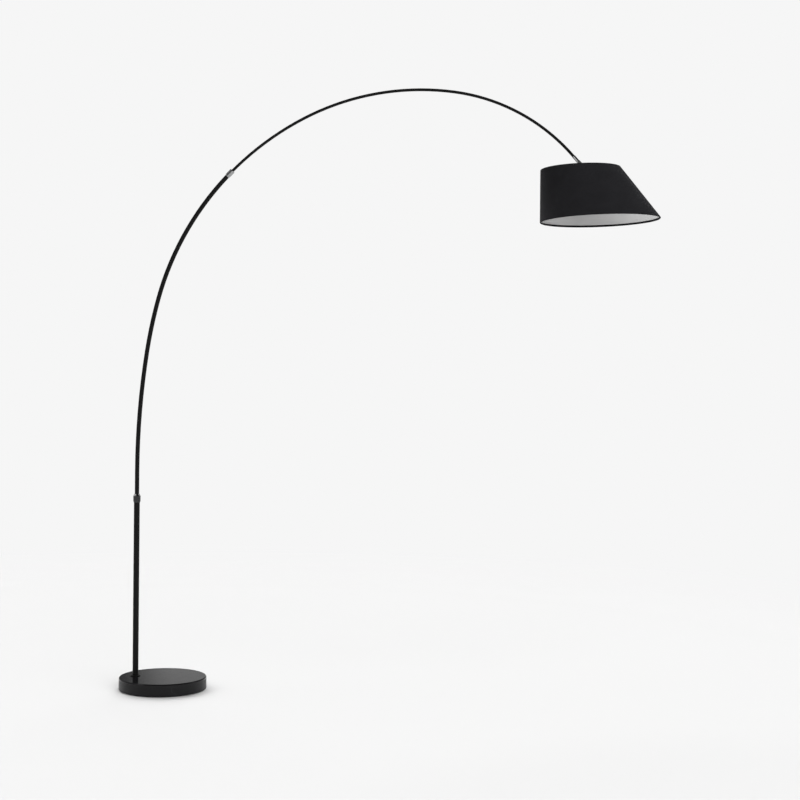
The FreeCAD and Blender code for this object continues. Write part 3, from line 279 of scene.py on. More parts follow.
class Finish(Nodes):
    """A procedural material on the Principled shader."""

    def __init__(self, name, **constants):
        self.material = bpy.data.materials.new(name)
        self.material.use_nodes = True
        super().__init__(self.material.node_tree)
        self.shader = self.nodes["Principled BSDF"]
        self.out = self.nodes["Material Output"]
        for socket, value in constants.items():
            self.shader.inputs[socket.replace("_", " ")].default_value = value

    def feed(self, socket, value):
        """Puts what varies over the surface into a socket of the shader."""
        self.join(value, self.shader.inputs[socket])

    def here(self):
        """Object coordinates, in metres."""
        return self.node("ShaderNodeTexCoord", out="Object")

    def placed(self, at, heading=UPRIGHT, scale=(1, 1, 1)):
        """Object coordinates from a point, with z along a heading in the arm's plane."""
        turn = Euler((0, math.radians(heading - UPRIGHT), 0))
        shift = -(turn.to_matrix() @ Vector([a * s for a, s in zip(at, scale)]))
        return self.node("ShaderNodeMapping", None, {
            "Vector": self.here(), "Location": shift, "Rotation": turn, "Scale": scale})

    def stretched(self, where, scale):
        """A place whose three parts are multiplied, so a pattern shrinks along each."""
        return self.node("ShaderNodeMapping", None, {"Vector": where, "Scale": scale})

    def noise(self, where, scale, detail=2.0, roughness=0.5, distortion=0.0):
        """Soft random patches, scale of them to each metre of where."""
        return self.node("ShaderNodeTexNoise", None, {
            "Vector": where, "Scale": scale, "Detail": detail, "Roughness": roughness,
            "Distortion": distortion})

    def cells(self, where, scale, feature="F1"):
        """How far the nearest of scattered points is, scale of them to each metre."""
        return self.node("ShaderNodeTexVoronoi", {"feature": feature}, {
            "Vector": where, "Scale": scale})

    def only(self, operation, value):
        """Maths on one value, such as its sine."""
        return self.node("ShaderNodeMath", {"operation": operation}, {0: value})

    def blend(self, amount, first, second):
        """A colour between two colours."""
        return self.node("ShaderNodeMix", {"data_type": "RGBA"}, {
            0: amount, 6: first, 7: second}, out=2)

    def bump(self, height, strength, distance, under=None):
        """A normal from a height, distance metres at most, laid on another normal."""
        inputs = {"Height": height, "Strength": strength, "Distance": distance}
        if under is not None:
            inputs["Normal"] = under
        return self.node("ShaderNodeBump", None, inputs)


def grey(tone, warm=0.0, rose=0.0):
    """A grey, made a little warm, or cool below nothing, and a little rose."""
    return (tone * (1 + warm), tone * (1 - rose), tone * (1 - warm), 1)


def floor_finish():
    """Pale ground.  Seen straight, in metal or through glass it has the backdrop's tone,
    less what the object's shadow takes away near it; to other light it is plain grey.
    Its underside is clear."""
    f = Finish("pale_ground")
    seen = f.seen(f.outputs("ShaderNodeLightPath"))
    glow = f.node("ShaderNodeEmission", None, {
        "Color": grey(1.0), "Strength": BACKDROP - FLOOR_SHADE * FLOOR_LIT})
    tint = f.node("ShaderNodeBsdfDiffuse", None, {"Color": grey(FLOOR_SHADE)})
    far = f.node("ShaderNodeEmission", None, {"Color": grey(1.0), "Strength": BACKDROP})
    plain = f.node("ShaderNodeBsdfDiffuse", None, {"Color": grey(FLOOR_BOUNCE)})
    clear = f.node("ShaderNodeBsdfTransparent")
    near = f.node("ShaderNodeAddShader", None, {0: glow, 1: tint})
    away = f.node("ShaderNodeVectorMath", {"operation": "LENGTH"}, {0: f.here()}, out=1)
    shown = f.node("ShaderNodeMixShader", None, {
        0: f.span(away, *SHADOW_REACH), 1: near, 2: far})
    top = f.node("ShaderNodeMixShader", None, {0: seen, 1: plain, 2: shown})
    back = f.node("ShaderNodeNewGeometry", out="Backfacing")
    both = f.node("ShaderNodeMixShader", None, {0: back, 1: top, 2: clear})
    f.join(both, f.out.inputs["Surface"])
    f.nodes.remove(f.shader)
    return f.material


def ground():
    """A flat square on the floor's level."""
    half = GROUND_HALF
    plane = quad("ground", [(-half, -half, 0), (half, -half, 0), (half, half, 0),
                            (-half, half, 0)], floor_finish())


def room():
    """A pale backdrop all round.  As light it is dimmer than it looks, and in metal and
    polish it fades overhead, where a studio is dark."""
    world = bpy.data.worlds.new("room")
    scene.world = world
    world.use_nodes = True
    w = Nodes(world.node_tree)
    w.nodes.clear()
    rays = w.outputs("ShaderNodeLightPath")
    right, back, rise = w.axes(w.node("ShaderNodeTexCoord", out="Generated"))
    half_rise = w.span(back, *FRONT_TO_BACK, HALF_RISE * FRONT_RISE, HALF_RISE)
    faded = 1 / (1 + (rise / half_rise * rays["Is Glossy Ray"]) ** 2)
    faded = faded + (1 - faded) * w.span(right, *GLOW_WAY) * LEFT_GLOW
    light = w.node("ShaderNodeBackground", None, {"Color": grey(1.0), "Strength": ROOM_LIGHT})
    look = w.node("ShaderNodeBackground", None, {
        "Color": grey(1.0), "Strength": faded * BACKDROP})
    both = w.node("ShaderNodeMixShader", None, {0: w.seen(rays), 1: light, 2: look})
    end = w.nodes.new("ShaderNodeOutputWorld")
    w.join(both, end.inputs["Surface"])


def graded_card():
    """A card that only polish and metal see, dim at the left and pale at the right, as one
    is stood behind a shiny object to shade its reflections."""
    (left, right), (low, high) = CARD_ACROSS, CARD_UPWARD
    card = Finish("graded_card", Base_Color=grey(0.0), Specular_IOR_Level=0.0,
                  Emission_Strength=1.0)
    x, _, z = card.axes(card.here())
    pale = card.span(x, *CARD_TURNING) * card.span(z, *CARD_FADING, 1.0, CARD_TOP)
    card.feed("Emission Color", card.blend(pale, grey(CARD_DIM), grey(CARD_PALE)))
    thing = quad("graded_card", [(left, CARD_BEHIND, low), (right, CARD_BEHIND, low),
                                 (right, CARD_BEHIND, high), (left, CARD_BEHIND, high)],
                 card.material)
    for ray in ("camera", "diffuse", "transmission", "shadow", "volume_scatter"):
        setattr(thing, "visible_" + ray, False)


def hang(name, light, in_polish):
    """Puts a lamp in the scene.  Only some are seen in polish and metal."""
    thing = put(name, light)
    thing.visible_glossy = in_polish
    return thing


def facing(away):
    """The turn that makes a lamp shine opposite to a direction."""
    return Vector(away).to_track_quat("Z", "Y").to_euler()


def far_lamp(name, towards, strength, spread, in_polish):
    """A far soft lamp, standing in the direction given, spread degrees across."""
    sun = bpy.data.lights.new(name, "SUN")
    sun.energy, sun.angle = strength, math.radians(spread)
    hang(name, sun, in_polish).rotation_euler = facing(towards)


def lining_pool():
    """A soft pool of light that comes in under the shade's near rim and falls on its
    lining at the far tip, as light from a pale floor does.  Its edge fades all the way in."""
    spot = bpy.data.lights.new("lining_pool", "SPOT")
    spot.energy, spot.spot_size, spot.spot_blend = POOL_POWER, math.radians(POOL_SPREAD), 1.0
    spot.shadow_soft_size = POOL_WIDTH / 2
    thing = hang("lining_pool", spot, False)
    thing.visible_camera = False
    thing.location = POOL_AT
    thing.rotation_euler = facing(Vector(POOL_AT) - Vector(POOL_AIM))


camera()
ground()
room()
graded_card()
for lamp in LAMPS:
    far_lamp(*lamp)
lining_pool()
scene.view_settings.view_transform = "Standard"


# ======================================================================
# Finishes.  Tones are linear; a pattern's scale is per metre; span's two numbers are where
# a pattern begins to show and where it shows in full.
# ======================================================================
def black_stone():
    """Black stone, polished on top and honed at the side: grey flecks, a few faint veins,
    dull smears left by hands."""
    f = Finish("black_stone", IOR=1.3)
    where = f.here()
    fleck = f.span(f.noise(where, 900, detail=3, roughness=0.65), 0.60, 0.72)
    speck = f.span(f.cells(where, 420), 0.16, 0.05)
    path = f.noise(f.stretched(where, (1, 2.6, 1.6)), 5, detail=3, roughness=0.55,
                   distortion=0.5)
    vein = f.span(f.only("ABSOLUTE", path - 0.5), 0.007, 0.0)
    cloud = f.span(f.noise(where, 17, detail=2), 0.5, 0.68)
    pale = fleck * 0.35 + speck * 0.3 + vein * cloud * 0.45
    f.feed("Base Color", f.blend(pale, grey(0.004, -0.05, 0.06), grey(0.046, -0.04, 0.04)))
    smear = f.noise(f.stretched(where, (1, 2.2, 1)), 26, detail=4, roughness=0.6)
    scratch = f.span(f.noise(f.stretched(where, (4, 90, 4)), 12, detail=2), 0.62, 0.72)
    polished = f.span(f.axes(where)[2], *HONED_TO)
    f.feed("Roughness", 0.10 + f.span(smear, 0.45, 0.75) * 0.10 + scratch * 0.05
           + pale * 0.08 + (1 - polished) * 0.30)
    wave = f.noise(where, 60, detail=3)
    f.feed("Normal", f.bump(wave + pale * 0.15, strength=0.10, distance=0.0004))
    return f.material


def foot_felt():
    """Pressed wool felt: matted fibres, with a little lint."""
    f = Finish("foot_felt", Roughness=0.95, Specular_IOR_Level=0.15, Sheen_Weight=0.3)
    where = f.here()
    matted = f.noise(where, 700, detail=5, roughness=0.75, distortion=1.5)
    hair = f.noise(f.stretched(where, (1, 5, 1)), 380, detail=3, roughness=0.6,
                   distortion=3.0)
    lint = f.span(hair, 0.66, 0.74)
    f.feed("Base Color", f.blend(matted * 0.6 + lint * 0.4, grey(0.008), grey(0.05)))
    f.feed("Normal", f.bump(matted + lint * 0.5, strength=0.6, distance=0.0006))
    return f.material


def moulded(name, dark, pale, rough, grain):
    """Moulded plastic or rubber: fine spark-eroded grain, and a soft mottle of the gloss."""
    f = Finish(name, Specular_IOR_Level=0.4)
    where = f.here()
    mottle = f.noise(where, 90, detail=3)
    fine = f.noise(where, grain, detail=3, roughness=0.6)
    f.feed("Base Color", f.blend(mottle * 0.7 + fine * 0.3, dark, pale))
    f.feed("Roughness", rough + (mottle - 0.5) * 0.16)
    soft = f.bump(mottle, strength=0.15, distance=0.0002)
    f.feed("Normal", f.bump(fine, strength=0.25, distance=0.00008, under=soft))
    return f.material


def black_paint():
    """Satin powder coat on tube: fine orange peel, dust specks, and gloss worn a little
    brighter in long soft patches."""
    f = Finish("black_paint", IOR=1.2)
    where = f.here()
    peel = f.noise(where, 900, detail=2, roughness=0.5)
    speck = f.span(f.noise(where, 2600, detail=2), 0.70, 0.78)
    patch = f.noise(where, 7, detail=3, roughness=0.6)
    f.feed("Base Color", f.blend(speck * 0.3 + patch * 0.25, grey(0.003), grey(0.011)))
    f.feed("Roughness", 0.42 + (patch - 0.5) * 0.22 + speck * 0.1)
    f.feed("Normal", f.bump(peel + speck * 0.5, strength=0.22, distance=0.00012))
    return f.material


def turned_metal(name, tone, rough, at, heading, warm=0.0, mark=0.06, bare=None):
    """Metal turned on a lathe, then plated: fine rings round its axis, faint bands in the
    plating, and fingerprints that dull it.  bare = (tone, how far along its axis in metres)
    is bright metal from there on, where the plating is cut away."""
    f = Finish(name, Metallic=1.0)
    own = f.placed(at, heading)
    rings = f.noise(f.stretched(own, (60, 60, 9000)), 1.0, detail=3, roughness=0.6)
    bands = f.noise(f.stretched(own, (30, 30, 260)), 1.0, detail=2)
    thumbed = f.span(f.noise(own, 190, detail=4, roughness=0.7, distortion=1.2), 0.52, 0.78)
    colour = f.blend(f.span(rings, 0.3, 0.7) * 0.5 + bands * 0.3 + thumbed * 0.2,
                     grey(tone, warm), grey(tone * 0.72, warm))
    if bare is not None:
        cut = f.span(f.axes(own)[2], bare[1], bare[1] + 0.0006)
        colour = f.blend(cut, colour, grey(bare[0]))
    f.feed("Base Color", colour)
    f.feed("Roughness", rough + rings * mark + thumbed * 0.05)
    f.feed("Normal", f.bump(rings, strength=0.12, distance=0.00005))
    return f.material


def zinc_steel():
    """Zinc-plated steel: spangle patches, a milky haze, thin drawn lines."""
    f = Finish("zinc_steel", Metallic=1.0)
    where = f.here()
    spangle = f.cells(where, 260, "SMOOTH_F1")
    haze = f.noise(where, 120, detail=4, roughness=0.6)
    f.feed("Base Color", f.blend(spangle * 0.6 + haze * 0.4, grey(0.62, -0.02),
                                 grey(0.42, 0.02)))
    f.feed("Roughness", 0.26 + haze * 0.22)
    drawn = f.noise(f.stretched(where, (1, 1, 8)), 900, detail=2)
    f.feed("Normal", f.bump(drawn, strength=0.15, distance=0.00006))
    return f.material


def core_insulation():
    """The two cores: brown on one side of the lead's axis, blue on the other."""
    f = Finish("core_insulation", Roughness=0.32)
    x = f.axes(f.placed(PIVOT, HEAD_HEADING))[0]
    side = f.span(x, -0.0001, 0.0001)
    ripple = f.noise(f.here(), 700, detail=2)
    brown = f.blend(ripple, (0.13, 0.045, 0.018, 1), (0.19, 0.07, 0.03, 1))
    blue = f.blend(ripple, (0.012, 0.07, 0.24, 1), (0.02, 0.10, 0.32, 1))
    f.feed("Base Color", f.blend(side, brown, blue))
    f.feed("Normal", f.bump(ripple, strength=0.15, distance=0.0001))
    return f.material


def steatite():
    """Unglazed white ceramic: fine pits and a few grey specks."""
    f = Finish("steatite", Specular_IOR_Level=0.4)
    where = f.here()
    pit = f.span(f.cells(where, 900), 0.22, 0.08)
    cloud = f.noise(where, 160, detail=3)
    f.feed("Base Color", f.blend(pit * 0.5 + cloud * 0.4, grey(0.76, 0.03), grey(0.56, 0.05)))
    f.feed("Roughness", 0.52 + cloud * 0.2)
    f.feed("Normal", f.bump(cloud - pit, strength=0.3, distance=0.0001))
    return f.material


def white_wire():
    """White enamel on wire: thin runs and dimples."""
    f = Finish("white_wire", Specular_IOR_Level=0.5)
    where = f.here()
    run = f.noise(where, 240, detail=3)
    chip = f.span(f.noise(where, 1300, detail=2, roughness=0.7), 0.72, 0.78)
    f.feed("Base Color", f.blend(run * 0.35 + chip * 0.4, grey(0.78), grey(0.56, 0.02)))
    f.feed("Roughness", 0.26 + run * 0.16)
    f.feed("Normal", f.bump(run - chip, strength=0.2, distance=0.0002))
    return f.material


def shade_fabric():
    """Plain-woven black cotton: each thread passes over one and under the next, some are
    thicker than others for a few centimetres, and short fibres catch the light."""
    f = Finish("shade_fabric", Roughness=0.85, IOR=1.15, Sheen_Weight=0.02,
               Sheen_Roughness=0.45)
    cloth = f.node("ShaderNodeUVMap", {"uv_map": "cloth"})
    x, y, _ = f.axes(cloth)
    warp_slub = f.noise(f.stretched(cloth, (1 / THREAD, 28, 1)), 1.0, detail=2, roughness=0.6)
    weft_slub = f.noise(f.stretched(cloth, (28, 1 / THREAD, 1)), 1.0, detail=2, roughness=0.6)
    wander = (f.noise(cloth, 60, detail=2) - 0.5) * 1.2
    across = f.only("SINE", x * (math.pi / THREAD) + wander)
    along = f.only("SINE", y * (math.pi / THREAD) + wander)
    over = across * along
    lift = over * over * 0.8 + over * 0.2
    slub = f.span(warp_slub, 0.45, 0.8) + f.span(weft_slub, 0.45, 0.8)
    fade = f.noise(cloth, 16, detail=3, roughness=0.6)
    f.feed("Base Color", f.blend(lift * 0.35 + slub * 0.25 + (fade - 0.5) * 0.3,
                                 grey(0.0078, -0.05, 0.06), grey(0.023, -0.05, 0.06)))
    slack = f.bump(f.noise(cloth, 24, detail=2), strength=0.12, distance=0.0015)
    f.feed("Normal", f.bump(lift + slub * 0.4, strength=0.5, distance=0.00012, under=slack))
    return f.material


def shade_lining():
    """Satin styrene film: flow lines from the roll, and faint cloudiness."""
    f = Finish("shade_lining", Specular_IOR_Level=0.35)
    where = f.placed(PIVOT, HEAD_HEADING)
    flow = f.noise(f.stretched(where, (12, 12, 160)), 1.0, detail=3, roughness=0.55)
    cloud = f.noise(where, 22, detail=3)
    f.feed("Base Color", f.blend(flow * 0.4 + cloud * 0.5, grey(0.52), grey(0.43, 0.005)))
    f.feed("Roughness", 0.42 + cloud * 0.16)
    soft = f.bump(cloud, strength=0.10, distance=0.001)
    f.feed("Normal", f.bump(flow, strength=0.10, distance=0.0003, under=soft))
    return f.material


def opal_glass():
    """Opal bulb glass: an even milk-white skin with the slightest blow lines and dust."""
    f = Finish("opal_glass", Coat_Weight=0.4, Coat_Roughness=0.06)
    where = f.placed(PIVOT, HEAD_HEADING)
    cloud = f.noise(where, 45, detail=3)
    dust = f.span(f.noise(where, 1500, detail=3, roughness=0.7), 0.68, 0.8)
    f.feed("Base Color", f.blend(cloud * 0.5 + dust * 0.5, grey(0.84, 0.01), grey(0.70, 0.02)))
    f.feed("Roughness", 0.16 + cloud * 0.08 + dust * 0.2)
    blown = f.noise(f.stretched(where, (20, 20, 90)), 1.0, detail=2)
    f.feed("Normal", f.bump(blown, strength=0.06, distance=0.0005))
    return f.material


FINISHES = {
    "black_stone": black_stone(),
    "foot_felt": foot_felt(),
    "black_rubber": moulded("black_rubber", grey(0.010), grey(0.024), rough=0.68, grain=1600),
    "black_nylon": moulded("black_nylon", grey(0.014), grey(0.034), rough=0.46, grain=2200),
    "black_paint": black_paint(),
    "zinc_steel": zinc_steel(),
    "dark_metal": turned_metal("dark_metal", 0.06, 0.24, (POLE_AXIS[0], 0, RING_SHOULDER),
                               UPRIGHT, warm=-0.02, bare=(0.85, 0.0)),
    "chrome": turned_metal("chrome", 0.42, 0.12, UPPER_JOINT, JOINT_HEADING, warm=-0.01,
                           mark=0.05),
    "lead_sheath": moulded("lead_sheath", grey(0.010), grey(0.028), rough=0.48, grain=2400),
    "core_insulation": core_insulation(),
    "holder_plastic": moulded("holder_plastic", grey(0.012), grey(0.026), rough=0.34,
                              grain=2600),
    "steatite": steatite(),
    "brass": turned_metal("brass", 0.62, 0.26, PIVOT, HEAD_HEADING, warm=0.42),
    "shell_metal": turned_metal("shell_metal", 0.66, 0.30, PIVOT, HEAD_HEADING, mark=0.12),
    "white_wire": white_wire(),
    "shade_fabric": shade_fabric(),
    "shade_lining": shade_lining(),
    "opal_glass": opal_glass(),
}
SWIVEL_CHROME = turned_metal("swivel_chrome", 0.72, 0.12, PIVOT, SWIVEL_HEADING, warm=-0.01,
                             mark=0.05)

NODES_BY_FINISH = {
    "black_stone": ("base_disc",),
    "foot_felt": ("foot_pad",),
    "black_rubber": ("lead_grommet",),
    "black_nylon": ("lead_clamp", "lower_collet", "upper_collet", "mast_guide_bush",
                    "boom_guide_bush", "swivel_washers"),
    "black_paint": ("lower_pole", "pole_flange", "pole_top_socket", "mid_tube", "upper_rod"),
    "zinc_steel": ("pole_stud", "stud_washer", "spring_washer", "stud_nut", "pole_foot_plug",
                   "nipple_nut"),
    "dark_metal": ("lower_lock_ring",),
    "chrome": ("upper_lock_ring", "mast_top_socket"),
    "steatite": ("holder_insert",),
    "core_insulation": ("lead_cores",),
    "holder_plastic": ("holder_cap", "holder_shell", "shade_ring"),
    "brass": ("centre_contact", "bulb_contact", "terminal_screws"),
    "shell_metal": ("screw_shell", "bulb_cap"),
    "white_wire": ("shade_carrier", "bottom_hoop"),
    "shade_fabric": ("shade_cover", "top_hem", "bottom_hem"),
    "shade_lining": ("shade_liner",),
    "opal_glass": ("bulb_envelope",),
}


def dress(name, finish):
    """Gives a CAD node one finish."""
    node = frame["nodes"][name]
    node.data.materials.clear()
    node.data.materials.append(finish)


def dress_nodes():
    """Each CAD node takes its slot's finish."""
    named = {n: FINISHES[slot] for slot, group in NODES_BY_FINISH.items() for n in group}
    for name in frame["nodes"]:
        if name in named:
            dress(name, named[name])
        elif name.endswith("lead"):
            dress(name, FINISHES["lead_sheath"])
        else:
            dress(name, SWIVEL_CHROME)


dress_nodes()


# ======================================================================
# Pieces, worked out in millimetres in the head's or the row's frame
# ======================================================================
def head_to_row(points):
    """Millimetres in the head's frame to metres in the row frame: a turn about Y, a shift."""
    c, s = math.cos(math.radians(HEAD_TILT)), math.sin(math.radians(HEAD_TILT))
    turn = np.array([[c, 0, -s], [0, 1, 0], [s, 0, c]])
    return points @ turn.T * MM + PIVOT


def piece(name, points, faces, slot, body, uv=None):
    """A mesh object from its points, in the row frame, and its faces."""
    mesh = bpy.data.meshes.new(name)
    mesh.from_pydata(points.reshape(-1, 3), [], faces)
    mesh.polygons.foreach_set("use_smooth", np.ones(len(mesh.polygons), bool))
    if uv is not None:
        layer = mesh.uv_layers.new(name="cloth")
        layer.data.foreach_set("uv", uv.astype(np.float32).ravel())
    mesh.materials.append(FINISHES[slot])
    mesh.update()
    thing = put(name, mesh)
    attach(thing, body)
    return thing


def grid_faces(rows, columns):
    """Quads of a grid closed both ways, and the four corners' grid places for its map."""
    i, j = np.meshgrid(np.arange(rows), np.arange(columns), indexing="ij")
    near, far = (i + 1) % rows, (j + 1) % columns
    faces = np.stack([i * columns + j, near * columns + j, near * columns + far,
                      i * columns + far], -1)
    return faces.reshape(-1, 4), i, j


def ring_surface(name, points, slot, body, flat=None):
    """A surface closed both ways: points[i, j] goes round with i and round its section
    with j.  flat[i, j] is the cloth's own place in its cut, one row and column longer, so
    that the map starts again where the cloth is joined."""
    faces, i, j = grid_faces(*points.shape[:2])
    uv = None
    if flat is not None:
        uv = np.stack([flat[i, j], flat[i + 1, j], flat[i + 1, j + 1], flat[i, j + 1]], 2)
    return piece(name, points, faces, slot, body, uv)


def turned_ring(name, profile, slot, angles):
    """A ring in the head's frame: profile[i, j] is (radius, level) at angle i."""
    radius, level = profile[..., 0], profile[..., 1]
    points = np.stack([radius * np.cos(angles), radius * np.sin(angles), level], -1)
    return ring_surface(name, head_to_row(points), slot, "shade_head")


def full_turn(steps):
    """Angles evenly round a circle, the last one short of the first."""
    return np.linspace(0, 2 * math.pi, steps + 1)[:-1]


def step(low, high, value):
    """0 below low, 1 above high, smooth between."""
    t = np.clip((value - low) / (high - low), 0, 1)
    return t * t * (3 - 2 * t)


# ---- the shade's walls ----
def round_samples(seam, lap):
    """Angles round the shade from its seam, closer together at the lap and the arms."""
    fine = [np.linspace(0, 360, ROUND_STEPS + 1)[:-1], SEAM_SPOTS]
    lap_end = np.linspace(lap / FOOT_RADIUS, lap / TOP_RADIUS + LAP_PAST, LAP_STEPS)
    fine.append(lap_end * 180 / math.pi)
    around = np.array(ARM_SPOTS) * math.degrees(NOTCH_HALF / TOP_RADIUS)
    fine += [(arm + around - seam) % 360 for arm in ARM_ANGLES]
    steps = np.unique(np.round(np.concatenate(fine), 3))
    return np.radians(seam + steps)


def rim(angle, level, inset=0.0):
    """The shade's wall at a level: circles that shrink and shift evenly from foot to top."""
    t = (level - FOOT_LEVEL) / (TOP_LEVEL - FOOT_LEVEL)
    radius = FOOT_RADIUS + (TOP_RADIUS - FOOT_RADIUS) * t - inset
    return np.stack([FOOT_SHIFT * (1 - t) + radius * np.cos(angle), radius * np.sin(angle),
                     level + 0 * angle], -1)


def unit(vectors):
    """Vectors of length one."""
    return vectors / np.linalg.norm(vectors, axis=-1, keepdims=True)


def wall_frame(angle):
    """At each angle: the way up the wall, and the way out square to it."""
    up = unit(rim(angle, TOP_LEVEL) - rim(angle, FOOT_LEVEL))
    round_ = np.stack([-np.sin(angle), np.cos(angle), 0 * angle], -1)
    return up, unit(np.cross(round_, up))


def hoop_line(angle, level):
    """Centre line of the wire hoop that lies against the lining at a level."""
    lean_out = []
    for side in (-1, 1):
        top, foot = side * TOP_RADIUS, FOOT_SHIFT + side * FOOT_RADIUS
        lean = (top - foot) / (TOP_LEVEL - FOOT_LEVEL)
        wall = foot + lean * (level - FOOT_LEVEL)
        off = SKIN + GLUE + LINING + (WIRE + WIRE_GAP) * math.hypot(1, lean)
        lean_out.append(wall - side * off)
    centre, radius = sum(lean_out) / 2, (lean_out[1] - lean_out[0]) / 2
    return np.stack([centre + radius * np.cos(angle), radius * np.sin(angle),
                     level + 0 * angle], -1)


def turn_in():
    """The cloth past the wire's lowest point, in the wall's own plane, as a table of length,
    (out, along), and the way out of the cloth: on round the wire until it leaves it, then
    a curve with one corner point back to the lining and up it."""
    middle = WIRE + WIRE_GAP + CLOTH / 2
    turn = np.radians(np.linspace(90, TURN_END, TURN_STEPS))
    arc = np.stack([np.cos(turn), -np.sin(turn)], -1)
    on_lining = WIRE + WIRE_GAP - TUCK_GAP - CLOTH / 2
    start, heading = arc[-1] * middle, np.array([-math.sin(turn[-1]), -math.cos(turn[-1])])
    corner = start + heading * (on_lining - start[0]) / heading[0]
    end = np.array([on_lining, TUCK_LEVEL])
    t = np.linspace(0, 1, BACK_STEPS)[1:, None]
    back = start * (1 - t) ** 2 + corner * 2 * t * (1 - t) + end * t ** 2
    slope = unit((corner - start) * (1 - t) + (end - corner) * t)
    line = np.concatenate([arc * middle, back])
    out = np.concatenate([arc, np.stack([-slope[:, 1], slope[:, 0]], -1)])
    length = np.concatenate([[0], np.cumsum(np.linalg.norm(np.diff(line, axis=0), axis=1))])
    return length, line, out


def hem(reach, skin, share):
    """The hem's section at each angle, from the wall round the wire to the cloth's edge.
    reach is the wall's distance from the wire's axis, skin its thickness there, share how
    much of the turn-in is there.  Gives the middle line, the way out, half the thickness."""
    near = np.radians(np.linspace(0, 90, BEND_STEPS))[:-1]
    closing = step(0, math.radians(THINNED_BY), near)
    outer = reach[:, None] + (WIRE + WIRE_GAP + CLOTH - reach[:, None]) * closing
    inner = outer - (skin[:, None] + (CLOTH - skin[:, None]) * closing)
    way = np.stack([np.cos(near), -np.sin(near)], -1) + 0 * reach[:, None, None]
    first = way * ((outer + inner) / 2)[..., None]
    length, line, out = turn_in()
    spots = np.linspace(0, 1, TUCK_STEPS) * length[-1] * share[:, None]
    rest = np.stack([np.interp(spots, length, line[:, k]) for k in (0, 1)], -1)
    rest_out = unit(np.stack([np.interp(spots, length, out[:, k]) for k in (0, 1)], -1))
    half = np.concatenate([(outer - inner) / 2, np.full(spots.shape, CLOTH / 2)], 1)
    return np.concatenate([first, rest], 1), np.concatenate([way, rest_out], 1), half


def in_wall(anchor, pair, out, up, flip):
    """From (out, along) pairs in the wall's plane to points about an anchor at each angle."""
    return (anchor[:, None] + pair[..., :1] * out[:, None]
            + flip * pair[..., 1:] * up[:, None])


def raised(angle, level, seam, width, height):
    """How far an overlapping edge lifts the surface: at once at the edge, then falling
    away smoothly where the layer below ends."""
    t = (level - FOOT_LEVEL) / (TOP_LEVEL - FOOT_LEVEL)
    along = (angle - math.radians(seam)) * (FOOT_RADIUS + (TOP_RADIUS - FOOT_RADIUS) * t)
    return height * step(*LAP_RISE, along) * (1 - step(width, width + LAP_END, along))


def ripple(angle, level):
    """Slight unevenness of the laid cloth: a sum of long sine waves round and up the wall,
    raised so that it never dips below the wall."""
    waves = sum(share * np.sin(count * angle + climb * level + start)
                for count, climb, start, share in WAVES)
    return WAVE_HEIGHT * (1 + waves / sum(wave[3] for wave in WAVES))


def shade_cloth():
    """One cloth, from its edge inside the foot, round the foot wire, up the wall, round the
    top wire to its edge inside the top.  The section at each angle is that line with the
    cloth's thickness put half on each side, and the angles go round from the seam.  On the
    outside the lap and the waves are added, the waves dying away at the hems as the root
    of a sine."""
    angle = round_samples(SEAM, LAP_WIDTH)
    up, out = wall_frame(angle)
    radial = np.stack([np.cos(angle), np.sin(angle), 0 * angle], -1)
    skin = SKIN * (radial * out).sum(-1)
    arc = np.degrees(angle)[:, None] - np.array(ARM_ANGLES)
    off_arm = np.abs((arc + 180) % 360 - 180).min(1) * math.pi / 180 * TOP_RADIUS
    side = step(NOTCH_HALF * NOTCH_SIDE[0], NOTCH_HALF * NOTCH_SIDE[1], off_arm)
    share = NOTCH_LEFT + (1 - NOTCH_LEFT) * side
    ends = []
    for level, edge, flip, part in ((FOOT_LEVEL + GLUE + WIRE, FOOT_LEVEL, 1, 1 + 0 * share),
                                    (TOP_LEVEL - GLUE - WIRE, TOP_LEVEL, -1, share)):
        wire = hoop_line(angle, level)
        reach = ((rim(angle, edge) - wire) * out).sum(-1)
        pair, way, half = hem(reach, skin, part)
        middle = in_wall(wire, pair, out, up, flip)
        aside = in_wall(0 * wire, way, out, up, flip)
        ends.append((middle, aside, half))
    (foot, foot_way, foot_half), (top, top_way, top_half) = ends
    climb = np.linspace(0, 1, CLIMB_STEPS)[1:-1, None]
    wall = foot[:, :1] * (1 - climb) + top[:, :1] * climb
    wall_way = out[:, None] + 0 * wall
    wall_half = skin[:, None] / 2 + 0 * wall[..., 0]
    middle = np.concatenate([foot[:, ::-1], wall, top], 1)
    way = np.concatenate([foot_way[:, ::-1], wall_way, top_way], 1)
    half = np.concatenate([foot_half[:, ::-1], wall_half, top_half], 1)[..., None]
    on_wall = np.concatenate([np.zeros(foot.shape[1]),
                              np.sqrt(np.sin(np.linspace(0, math.pi, wall.shape[1]))),
                              np.zeros(top.shape[1])])
    lift = raised(angle[:, None], middle[..., 2], SEAM, LAP_WIDTH, LAP_HEIGHT)
    lift = (lift + ripple(angle[:, None], middle[..., 2]) * on_wall)[..., None]
    outer = middle + way * (half + lift)
    inner = middle - way * half
    points = np.concatenate([outer, inner[:, ::-1]], 1)
    flat = cloth_map(angle, middle, foot.shape[1])
    return ring_surface("shade_cloth", head_to_row(points), "shade_fabric", "shade_head", flat)


